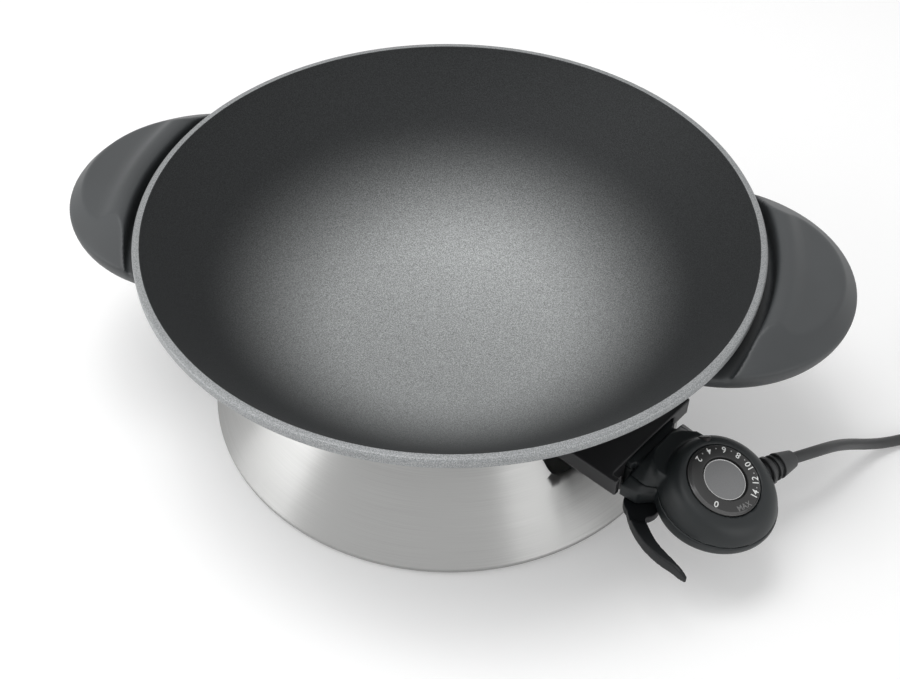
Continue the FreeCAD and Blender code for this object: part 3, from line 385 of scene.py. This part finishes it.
# Mains lead: down from the boot to the table, out of view, into a tied coil, and up to its plug

lead = {
    "radius": 0.0035,
    "exit": (0.21943, -0.05981, 0.05506),
    "way": [
        (0.2340, -0.0488, 0.0535),
        (0.2460, -0.0350, 0.0455),
        (0.2580, -0.0195, 0.0320),
        (0.2710, -0.0040, 0.0170),
        (0.2855, 0.0095, 0.0065),
        (0.3015, 0.0205, 0.0035),
        (0.3220, 0.0315, 0.0035),
        (0.3455, 0.0405, 0.0035),
    ],
    "coilCentre": (0.3613, 0.0886),
    "turns": [(0.0430, 0.0035), (0.0359, 0.0035), (0.0359, 0.0105), (0.0430, 0.0105)],
    "stepsPerTurn": 20,
    "crossSteps": 4,  # the last steps of a turn lead over to the next one
    "firstAngle": -77.0,
    "tail": [(0.3899, 0.0513, 0.0125), (0.4052, 0.0608, 0.0165), (0.4149, 0.0747, 0.0185)],
}


def leadPoints():
    points = [lead["exit"]] + lead["way"]
    x, y = lead["coilCentre"]
    steps = lead["stepsPerTurn"]
    turns = lead["turns"]
    for turn, (radius, height) in enumerate(turns):
        nextRadius, nextHeight = turns[min(turn + 1, len(turns) - 1)]
        for step in range(steps):
            share = max(0.0, (step - steps + lead["crossSteps"]) / lead["crossSteps"])
            angle = math.radians(lead["firstAngle"] + 360.0 * step / steps)
            here = radius + (nextRadius - radius) * share
            points.append((x + here * math.cos(angle), y + here * math.sin(angle),
                           height + (nextHeight - height) * share))
    radius, height = turns[-1]
    angle = math.radians(lead["firstAngle"])
    points.append((x + radius * math.cos(angle), y + radius * math.sin(angle), height))
    return points + lead["tail"]


def makeLead():
    curve = bpy.data.curves.new("mainsLead", "CURVE")
    curve.dimensions = "3D"
    spline = curve.splines.new("NURBS")
    points = leadPoints()
    spline.points.add(len(points) - 1)
    for point, place in zip(spline.points, points):
        point.co = (*place, 1.0)
    spline.order_u = 3
    spline.use_endpoint_u = True
    spline.resolution_u = 6
    curve.bevel_depth = lead["radius"]
    curve.bevel_resolution = 6
    curve.use_fill_caps = True
    piece = bpy.data.objects.new("mainsLead", curve)
    bpy.context.scene.collection.objects.link(piece)
    curve.materials.append(finishes["leadBlack"])
    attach(piece, "probe")
    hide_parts("power_cord", "cord_coil", "cord_tail")
    return piece


mainsLead = makeLead()

plug = {
    "rear": (0.4149, 0.0747, 0.0185),
    "heading": 72.0,
    "length": 0.052,
    "radius": 0.0185,
    # radius and distance from the rear, from the lead's sleeve out to the grip
    "neck": [(0.0052, 0.0), (0.0056, 0.0010), (0.0062, 0.0040), (0.0070, 0.0085), (0.0078, 0.0145),
             (0.0083, 0.0200), (0.0093, 0.0250), (0.0118, 0.0295), (0.0155, 0.0325),
             (0.0177, 0.0345), (0.0185, 0.0362)],
    "edge": 0.0010,
    "rebate": 0.0006,
    "steps": 72,
}


def plugPlace():
    heading = Matrix.Rotation(math.radians(plug["heading"]), 4, "Z")
    laid = Matrix.Rotation(math.radians(90), 4, "Y")
    return Matrix.Translation(plug["rear"]) @ heading @ laid


def makePlugBody():
    radius, length = plug["radius"], plug["length"]
    edge, face = plug["edge"], plug["length"] - plug["rebate"]
    bm, pen = startOutline(0.0, 0.0)
    pen = drawOutline(bm, pen, plug["neck"])
    pen = lineTo(bm, pen, radius, length - edge)
    pen = arcTo(bm, pen, radius - edge, length - edge, -90, 4)
    drawOutline(bm, pen, ((radius - 0.0030, length), (radius - 0.0034, face), (0.0, face)))
    spinRound(bm, plug["steps"])
    piece = makePiece("plugBody", bm, "probe", ("plug_body",), plugPlace(), 40.0)
    coat(piece, "leadBlack")
    return piece


plugBody = makePlugBody()
print("lead made")


# Bowl: spun wall with its lip, ridge and seat rib, then lugs, posts and boss

bowl = {
    "rim": 0.185,
    "rimTop": 0.1466,
    "outerSphere": 0.2184,
    "wall": 0.005,
    "centre": 0.2604,
    "lip": 0.006,
    "mouthEase": 0.0007,
    "rimEdge": 0.0016,
    "lipEdge": 0.0008,
    "ridgeOut": 0.0695,  # the ridge that the heating element is cast in
    "ridgeIn": 0.0545,
    "ridgeFoot": 0.047,
    "ridgeSlope": 0.002,
    "steps": 224,
}


def sphereX(radius, z):
    return math.sqrt(radius ** 2 - (bowl["centre"] - z) ** 2)


def sphereZ(radius, x):
    return bowl["centre"] - math.sqrt(radius ** 2 - x ** 2)


def sphereAngle(x, z):
    return math.degrees(math.atan2(x, bowl["centre"] - z))


def makeBowl():
    outer = bowl["outerSphere"]
    inner = outer - bowl["wall"]
    top, rim, centre = bowl["rimTop"], bowl["rim"], bowl["centre"]
    ease, rimEdge, lipEdge = bowl["mouthEase"], bowl["rimEdge"], bowl["lipEdge"]
    insideX = sphereX(inner, top - ease)
    lipZ = top - bowl["lip"]
    lipX = sphereX(outer, lipZ)
    bm, pen = startOutline(0.0, centre - inner)
    pen = arcTo(bm, pen, 0.0, centre, -sphereAngle(insideX, top - ease), 56)
    pen = drawOutline(bm, pen, ((insideX + 0.0002, top - 0.0003), (insideX + ease, top),
                                (rim - rimEdge, top)))
    pen = arcTo(bm, pen, rim - rimEdge, top - rimEdge, 90, 6)
    pen = lineTo(bm, pen, rim, lipZ + lipEdge)
    pen = arcTo(bm, pen, rim - lipEdge, lipZ + lipEdge, 90, 4)
    pen = drawOutline(bm, pen, ((lipX + 0.0004, lipZ), (lipX, lipZ - 0.0003)))
    ridgeOut, ridgeIn, foot = bowl["ridgeOut"], bowl["ridgeIn"], bowl["ridgeFoot"]
    slope = bowl["ridgeSlope"]
    sweep = sphereAngle(lipX, lipZ - 0.0003) - sphereAngle(ridgeOut, sphereZ(outer, ridgeOut))
    pen = arcTo(bm, pen, 0.0, centre, sweep, 36)
    pen = drawOutline(bm, pen, ((ridgeOut - slope, foot), (ridgeIn + slope, foot),
                                (ridgeIn, sphereZ(outer, ridgeIn))))
    arcTo(bm, pen, 0.0, centre, sphereAngle(ridgeIn, sphereZ(outer, ridgeIn)), 12)
    spinRound(bm, bowl["steps"])
    # the rim's flat takes the darker grey (painted shade), its side the lighter grey (painted
    # light)
    for face in bm.faces:
        middle = face.calc_center_median()
        depth = (middle - Vector((0, 0, centre))).length
        if depth < inner + 0.0001 and middle.z < top:
            face.material_index = 0  # inside
        elif middle.z > top - 0.0006:
            face.material_index = 1  # flat of the rim
        elif middle.z > lipZ - 0.0005:
            face.material_index = 2  # side of the rim
        else:
            face.material_index = 3  # underside
    piece = makePiece("castBowl", bm, "bowl", ("wok_bowl",), None, 30.0)
    coat(piece, "nonStickWithPaintedHighlight", "rimTop", "rimSidePaintedLight", "undersideCoat")
    return piece


makeBowl()

cast = {
    "ribSunk": 0.002,
    "ribEase": 0.0005,
    "ribOut": 0.1054,
    "ribIn": 0.0994,
    "ribFoot": 0.0590,
    "ribGap": 49.0,
    "lugHalfWidth": 0.018,
    "lugEnd": 0.212,
    "lugStart": 0.172,
    "lugHeights": (0.1220, 0.1280),
    "postPlace": (0.118, 0.0325),
    "postRadius": 0.005,
    "postHeights": (0.0700, 0.0790),
    "bossAlong": (0.070, 0.106),
    "bossHalfWidth": 0.007,
    "bossFoot": 0.049,
    "sunk": 0.0015,  # how far a casting's root goes into the wall
    "edge": 0.0015,
}


def boxBetween(bm, low, high, bevel):
    made = bmesh.ops.create_cube(bm, size=1.0)["verts"]
    size = [b - a for a, b in zip(low, high)]
    middle = [(a + b) / 2 for a, b in zip(low, high)]
    bmesh.ops.scale(bm, vec=size, verts=made)
    bmesh.ops.translate(bm, vec=middle, verts=made)
    edges = list({edge for vert in made for edge in vert.link_edges})
    bmesh.ops.bevel(bm, geom=edges, offset=bevel, offset_type="OFFSET", affect="EDGES",
                    segments=3, profile=0.5, material=-1)


def makeRib():
    # the seat rib, open where the probe's connector comes in
    outer = bowl["outerSphere"] - cast["ribSunk"]
    foot, ease = cast["ribFoot"], cast["ribEase"]
    ribIn, ribOut = cast["ribIn"], cast["ribOut"]
    bm, first = startOutline(ribIn, sphereZ(outer, ribIn))
    pen = drawOutline(bm, first, ((ribIn, foot + ease), (ribIn + ease, foot), (ribOut - ease, foot),
                                  (ribOut, foot + ease), (ribOut, sphereZ(outer, ribOut))))
    closeOutline(bm, pen, first)
    turn = 360.0 - cast["ribGap"]
    bmesh.ops.spin(bm, geom=bm.verts[:] + bm.edges[:] + bm.faces[:], cent=(0, 0, 0),
                   axis=(0, 0, 1), dvec=(0, 0, 0), angle=math.radians(turn), steps=150,
                   use_merge=False, use_duplicate=False)
    cleanFaces(bm)
    place = probeTurn @ Matrix.Rotation(math.radians(cast["ribGap"] / 2), 4, "Z")
    piece = makePiece("seatRib", bm, "bowl", (), place, 30.0)
    coat(piece, "undersideCoat")


def makeBosses():
    # the sensor's boss and the guard's two posts
    half = cast["bossHalfWidth"]
    start, end = cast["bossAlong"]
    root = bowl["outerSphere"] - cast["sunk"]
    bm, first = startOutline(start, cast["bossFoot"])
    pen = lineTo(bm, first, end, cast["bossFoot"])
    for step in range(13):
        x = end + (start - end) * step / 12
        pen = lineTo(bm, pen, x, sphereZ(root, x))
    closeOutline(bm, pen, first)
    side = bmesh.ops.extrude_face_region(bm, geom=bm.faces[:])["geom"]
    moved = [item for item in side if isinstance(item, bmesh.types.BMVert)]
    bmesh.ops.translate(bm, vec=(0, 2 * half, 0), verts=moved)
    bmesh.ops.translate(bm, vec=(0, -half, 0), verts=bm.verts)
    bmesh.ops.recalc_face_normals(bm, faces=bm.faces)
    x, y = cast["postPlace"]
    low, high = cast["postHeights"]
    radius = cast["postRadius"]
    for side in (1, -1):
        made = bmesh.ops.create_cone(bm, cap_ends=True, cap_tris=False, segments=40, radius1=radius,
                                     radius2=radius + 0.0006, depth=high - low)["verts"]
        bmesh.ops.translate(bm, vec=(x, side * y, (low + high) / 2), verts=made)
    piece = makePiece("castBosses", bm, "bowl", (), probeTurn, 30.0)
    coat(piece, "undersideCoat")


def makeLugs():
    bm = bmesh.new()
    half, start, end = cast["lugHalfWidth"], cast["lugStart"], cast["lugEnd"]
    low, high = cast["lugHeights"]
    boxBetween(bm, (start, -half, low), (end, half, high), cast["edge"])
    boxBetween(bm, (-end, -half, low), (-start, half, high), cast["edge"])
    piece = makePiece("castLugs", bm, "bowl", (), None, 30.0)
    coat(piece, "undersideCoat")


makeRib()
makeBosses()
makeLugs()
print("bowl made")


# Stand: the spun wall with its rolled hem

def makeStand():
    bm = mergedMesh(nodes["stand_shell"].data)
    piece = makePiece("standWall", bm, "stand", ("stand_shell",), sharp=40.0)
    coat(piece, "spunSteel")


makeStand()
print("stand made")


# Handles

handles = {
    "voxel": 0.0011,
    "passes": 8,
}


def makeHandles():
    for name, node in (("rightHandle", "right_handle"), ("leftHandle", "left_handle")):
        piece = softCopy(name, node, "bowl", handles["voxel"], handles["passes"])
        coat(piece, "handleBlack")


makeHandles()
print("handles made")


# Probe head

leverTip = {
    "start": 0.2115,  # along the probe
    "end": 0.2195,
    "middle": 0.0455,
    "stations": 7,
    "taper": 0.86,
    "longer": 0.0012,
}


def roundTip(bm):
    # the lever's end is rounded in its height as well
    start, end = leverTip["start"], leverTip["end"]
    bmesh.ops.transform(bm, matrix=probeTurn.inverted(), verts=bm.verts)
    for step in range(leverTip["stations"]):
        along = start + (end - start) * (step / leverTip["stations"]) ** 0.7
        bmesh.ops.bisect_plane(bm, geom=bm.verts[:] + bm.edges[:] + bm.faces[:], dist=1e-7,
                               plane_co=(along, 0, 0), plane_no=(1, 0, 0))
    for vert in bm.verts:
        share = min(1.0, (vert.co.x - start) / (end - start))
        if share > 0:
            height = math.sqrt(1 - (leverTip["taper"] * share) ** 2)
            vert.co.z = leverTip["middle"] + (vert.co.z - leverTip["middle"]) * height
            vert.co.x += leverTip["longer"] * share
    bmesh.ops.transform(bm, matrix=probeTurn, verts=bm.verts)


# piece: node, body, voxel, smoothing passes, finish and what shapes it first
mouldings = {
    "headTop": ("probe_upper_shell", "probe", 0.0007, 12, "headBlack", None),
    "headPan": ("probe_lower_shell", "probe", 0.0007, 7, "headBlack", None),
    # the lever's darker finish is painted shade
    "squeezeLever": ("release_lever", "lever", 0.0005, 9, "leverBlackPaintedShade", roundTip),
    "guardHood": ("connector_guard", "bowl", 0.0008, 3, "guardBlack", None),
}


def makeHead():
    for name, (node, body, voxel, passes, finish, shape) in mouldings.items():
        piece = softCopy(name, node, body, voxel, passes, shape)
        coat(piece, finish)


makeHead()


# Indicator lens: a dark disc in the head's shoulder

lens = {
    "seat": (0.1828, 0.0140, 0.0794),
    "facing": (-0.51, 0.42, 0.75),
    "radius": 0.0036,
    "proud": 0.0004,
    "depth": 0.0030,
    "steps": 48,
}


def makeLens():
    radius, proud, depth = lens["radius"], lens["proud"], lens["depth"]
    bm, pen = startOutline(0.0, proud)
    drawOutline(bm, pen, ((radius - 0.0008, proud - 0.0001), (radius - 0.0003, proud - 0.0003),
                          (radius, proud - 0.0006), (radius, -depth), (0.0, -depth)))
    spinRound(bm, lens["steps"])
    aim = Vector(lens["facing"]).to_track_quat("Z", "Y").to_matrix().to_4x4()
    piece = makePiece("indicatorLens", bm, "probe", ("indicator_lens",),
                      probeTurn @ Matrix.Translation(lens["seat"]) @ aim, 30.0)
    coat(piece, "lampRed")


makeLens()


# Dial: a black ring with a rounded shoulder whose paler chamfer is a painted sheen, printed
# numbers, and a pale cap whose bright edge is a painted highlight

dial = {
    "centre": (0.2065, 0.0, 0.0742),
    "tilt": 17.6,
    "well": 0.0133,
    "flat": 0.0201,
    "radius": 0.0215,
    "rise": 0.0012,
    "chamfer": 0.0010,
    "drop": 0.0016,
    "depth": 0.0031,
    "capRadius": 0.0126,
    "capDepth": 0.0016,
    "numberRadius": 0.0181,
    "numberSize": 0.0054,
    "numbers": {"2": -171.0, "4": 160.2, "6": 129.9, "8": 102.0, "10": 75.0, "12": 46.1, "14": 19.0,
                "MAX": -16.6, "0": -71.2},
    "dots": (174.8, 145.0, 116.0, 88.5, 60.5, 32.5),
    "longWordScale": 0.82,
    "strokeWeight": 0.00005,
    "dotRadius": 0.00040,
    "dotOffset": 0.0003,
    "printHeight": 0.00004,
    "capRim": 0.00066,
    "steps": 160,
}


def dialPlace():
    tilt = Matrix.Rotation(math.radians(dial["tilt"]), 4, "Y")
    return probeTurn @ Matrix.Translation(dial["centre"]) @ tilt


def markOutside(bm, radius):
    # faces further out than this take the second finish
    for face in bm.faces:
        face.material_index = 1 if face.calc_center_median().xy.length > radius else 0


def makeDialRing():
    well, flat, radius, top = dial["well"], dial["flat"], dial["radius"], dial["rise"]
    foot = top - dial["drop"]
    floor = -dial["depth"]
    bm, pen = startOutline(well, floor)
    drawOutline(bm, pen, ((well, top - 0.0003), (well + 0.0003, top), (flat - 0.0002, top),
                          (flat, top - 0.0001), (flat + dial["chamfer"], foot),
                          (radius - 0.0002, foot - 0.0001), (radius, foot - 0.0004),
                          (radius, floor), (0.0, floor)))
    spinRound(bm, dial["steps"])
    made = bmesh.ops.create_circle(bm, cap_ends=True, segments=dial["steps"], radius=well)["verts"]
    bmesh.ops.translate(bm, vec=(0, 0, -dial["capDepth"]), verts=made)
    bmesh.ops.remove_doubles(bm, verts=bm.verts, dist=weld)
    # the chamfer and outer rim take the paler finish, a painted sheen
    markOutside(bm, flat - 0.0001)
    piece = makePiece("dialRing", bm, "dial", ("dial_ring",), dialPlace(), 28.0)
    coat(piece, "dialBlack", "dialChamferGlossAndPaintedSheen")


def makeDialCap():
    radius, floor = dial["capRadius"], -dial["capDepth"]
    bm, pen = startOutline(0.0, -0.0001)
    drawOutline(bm, pen, ((radius - 0.0007, -0.0001), (radius - 0.0006, 0.0),
                          (radius - 0.0003, 0.0), (radius, -0.0003), (radius, floor), (0.0, floor)))
    spinRound(bm, dial["steps"])
    # the edge ring takes the paler metal, a painted highlight
    markOutside(bm, radius - dial["capRim"])
    piece = makePiece("dialCap", bm, "dial", ("dial_cap",), dialPlace(), 28.0)
    coat(piece, "capMetal", "capEdgeGlossAndPaintedHighlight")


def printedAt(angle, radius):
    spot = Matrix.Rotation(math.radians(angle), 4, "Z") @ Vector((radius, 0, 0))
    return spot + Vector((0, 0, dial["rise"] + dial["printHeight"]))


def makeNumber(text, angle):
    curve = bpy.data.curves.new("number", "FONT")
    curve.body = text
    curve.size = dial["numberSize"] * (dial["longWordScale"] if len(text) > 2 else 1.0)
    curve.align_x = "CENTER"
    curve.align_y = "CENTER"
    curve.offset = dial["strokeWeight"]
    curve.resolution_u = 4
    holder = bpy.data.objects.new("number", curve)
    bpy.context.scene.collection.objects.link(holder)
    bpy.context.view_layer.update()
    made = holder.evaluated_get(bpy.context.evaluated_depsgraph_get())
    bm = mergedMesh(bpy.data.meshes.new_from_object(made))
    bpy.data.objects.remove(holder)
    # tops towards the dial's centre
    turn = Matrix.Rotation(math.radians(angle + 90), 4, "Z")
    place = dialPlace() @ Matrix.Translation(printedAt(angle, dial["numberRadius"])) @ turn
    piece = makePiece("number" + text, bm, "dial", (), place, 30.0)
    coat(piece, "printGrey" if text == "MAX" else "printWhite")


def makeDots():
    bm = bmesh.new()
    radius = dial["numberRadius"] + dial["dotOffset"]
    for angle in dial["dots"]:
        made = bmesh.ops.create_circle(bm, cap_ends=True, segments=16, radius=dial["dotRadius"])
        bmesh.ops.translate(bm, vec=printedAt(angle, radius), verts=made["verts"])
    piece = makePiece("numberDots", bm, "dial", (), dialPlace(), 30.0)
    coat(piece, "printPale")


makeDialRing()
makeDialCap()
for text, angle in dial["numbers"].items():
    makeNumber(text, angle)
makeDots()
print("dial made")


# Strain relief: flange, two ring grooves and a tapered sleeve

boot = {
    "exitCentre": (0.205, 0.0, 0.0590),
    "heading": 73.6,
    "slope": -4.0,
    "start": 0.0259,
    "collar": (0.0070, 0.0289),
    "neckRadius": 0.0060,
    "flange": (0.0350, 0.0380, 0.0086),
    "grooves": ((0.0380, 0.0408), (0.0419, 0.0447)),
    "grooveRadius": 0.0061,
    "radius": 0.0078,
    "endRadius": 0.0054,
    "end": 0.0565,
    "ease": 0.0005,
    "steps": 72,
}


def makeBoot():
    ease, half = boot["ease"], boot["ease"] / 2
    radius, groove, neck = boot["radius"], boot["grooveRadius"], boot["neckRadius"]
    start, end, endRadius = boot["start"], boot["end"], boot["endRadius"]
    collar, collarEnd = boot["collar"]
    flangeStart, flangeEnd, flange = boot["flange"]
    (firstIn, firstOut), (nextIn, nextOut) = boot["grooves"]
    bm, pen = startOutline(0.0, start)
    drawOutline(bm, pen, (
        (collar, start), (collar, collarEnd), (neck, collarEnd), (neck, flangeStart),
        (flange - ease, flangeStart), (flange, flangeStart + ease),
        (flange, flangeEnd - ease), (flange - ease, flangeEnd),
        (groove, firstIn), (groove, firstOut), (radius - half, firstOut), (radius, firstOut + half),
        (radius, nextIn - half), (radius - half, nextIn), (groove, nextIn), (groove, nextOut),
        (radius - half, nextOut), (radius, nextOut + half),
        (endRadius, end - ease), (endRadius - ease, end), (0.0, end),
    ))
    spinRound(bm, boot["steps"])
    aim = Matrix.Rotation(math.radians(boot["heading"]), 4, "Z")
    lay = Matrix.Rotation(math.radians(90 - boot["slope"]), 4, "Y")
    piece = makePiece("leadBoot", bm, "probe", ("cord_boot",),
                      probeTurn @ Matrix.Translation(boot["exitCentre"]) @ aim @ lay, 30.0)
    coat(piece, "leadBlack")


makeBoot()
print("head made")


# CAD nodes that stay, each with its finish

kept = {
    "support_ring": "darkSteel", "foot_ring": "darkSteel", "feet": "footBlack",
    "heating_element": "sheath", "terminal_insulators": "ceramic", "terminal_pins": "nickel",
    "guard_screws": "screwSteel", "handle_screws": "screwSteel", "probe_nose": "heatBoard",
    "shell_screws": "screwSteel", "sensor_sheath": "nickel", "contact_sleeves": "brass",
    "contact_arms": "brass", "thermostat_body": "ceramic",
    "indicator_lamp": "lampGlass", "cord_clamp": "guardBlack", "lever_pin": "screwSteel",
    "cord_tie": "guardBlack", "plug_pins": "nickel", "plug_earth_clips": "nickel",
    "dial_shaft": "screwSteel",
}
for node, finish in kept.items():
    coat(nodes[node], finish)


# Stage and lights

stage = {
    "halfSize": 14.0,
    "colour": (0.86, 0.86, 0.86, 1),
    "reach": 3.0,
    # no white lift inside the stand's foot (under 0.130 m): painted shade, so the floor seen
    # through the stand's notch stays dark
    "whiteLiftAndPaintedShade": [(0.130, 0.0), (0.146, 0.18), (0.8, 0.18), (2.6, 1.0)],  # distance, share of white
    "roughness": 0.9,
    "specular": 0.1,
    "drop": 0.0002,
    "worldLight": 0.55,
}


def seenRays(tree):
    # 1 for what the camera, a mirror or clear glass sees, 0 for light that falls on the object
    path = tree.nodes.new("ShaderNodeLightPath")
    first = tree.nodes.new("ShaderNodeMath")
    second = tree.nodes.new("ShaderNodeMath")
    first.operation = second.operation = "MAXIMUM"
    tree.links.new(path.outputs["Is Camera Ray"], first.inputs[0])
    tree.links.new(path.outputs["Is Glossy Ray"], first.inputs[1])
    tree.links.new(first.outputs[0], second.inputs[0])
    tree.links.new(path.outputs["Is Transmission Ray"], second.inputs[1])
    return second.outputs[0]


def makeFloor():
    bm = bmesh.new()
    bmesh.ops.create_grid(bm, x_segments=2, y_segments=2, size=stage["halfSize"])
    bmesh.ops.translate(bm, vec=(0, 0, -stage["drop"]), verts=bm.verts)
    mesh = bpy.data.meshes.new("floor")
    bm.to_mesh(mesh)
    bm.free()
    floor = bpy.data.objects.new("floor", mesh)
    bpy.context.scene.collection.objects.link(floor)
    material, tree, shader = newMaterial("floorWhite")
    shader.inputs["Base Color"].default_value = stage["colour"]
    shader.inputs["Roughness"].default_value = stage["roughness"]
    shader.inputs["Specular IOR Level"].default_value = stage["specular"]
    shader.inputs["Emission Color"].default_value = (1, 1, 1, 1)
    # the sweep fades to white behind the object and past its shadow; inside the stand's foot it
    # gets no white at all, painted shade
    coords = tree.nodes.new("ShaderNodeTexCoord")
    reach = tree.nodes.new("ShaderNodeVectorMath")
    reach.operation = "LENGTH"
    tree.links.new(coords.outputs["Object"], reach.inputs[0])
    share = tree.nodes.new("ShaderNodeMath")
    share.operation = "DIVIDE"
    share.inputs[1].default_value = stage["reach"]
    tree.links.new(reach.outputs["Value"], share.inputs[0])
    stops = [(distance / stage["reach"], [level] * 3) for distance, level in stage["whiteLiftAndPaintedShade"]]
    whiteLiftAndPaintedShade = rampNode(tree, share.outputs[0], stops)
    seen = tree.nodes.new("ShaderNodeMath")
    seen.operation = "MULTIPLY"
    tree.links.new(whiteLiftAndPaintedShade.outputs["Color"], seen.inputs[0])
    tree.links.new(seenRays(tree), seen.inputs[1])
    tree.links.new(seen.outputs[0], shader.inputs["Emission Strength"])
    mesh.materials.append(material)


def makeWorld():
    world = bpy.data.worlds.new("studio")
    bpy.context.scene.world = world
    world.use_nodes = True
    tree = world.node_tree
    background = tree.nodes["Background"]
    background.inputs["Color"].default_value = (1, 1, 1, 1)
    level = tree.nodes.new("ShaderNodeMapRange")
    level.inputs["To Min"].default_value = stage["worldLight"]
    level.inputs["To Max"].default_value = 1.0
    tree.links.new(seenRays(tree), level.inputs["Value"])
    tree.links.new(level.outputs["Result"], background.inputs["Strength"])


# lamp: place, what it faces, size and watts
lamps = {
    "overheadSoftbox": ((-0.46, -0.16, 1.75), (0.0, 0.0, 0.05), (0.8, 0.8), 10.0),
    "topSoftbox": ((-0.05, 0.05, 1.90), (0.0, 0.0, 0.05), (0.5, 0.5), 4.5),
    "leftSoftbox": ((-1.52, -0.62, 0.66), (0.0, 0.0, 0.04), (1.0, 1.1), 8.2),
    "rightSoftbox": ((1.46, -0.90, 0.66), (0.0, 0.0, 0.04), (1.2, 0.9), 4.3),
}


def makeLamps():
    for name, (place, target, size, power) in lamps.items():
        data = bpy.data.lights.new(name, "AREA")
        data.shape = "RECTANGLE"
        data.size, data.size_y = size
        data.energy = power
        lamp = bpy.data.objects.new(name, data)
        bpy.context.scene.collection.objects.link(lamp)
        aim = (Vector(target) - Vector(place)).to_track_quat("-Z", "Y")
        lamp.matrix_world = Matrix.Translation(place) @ aim.to_matrix().to_4x4()


makeFloor()
makeWorld()
makeLamps()
bpy.context.scene.view_settings.view_transform = "Standard"
print("stage and lamps made")
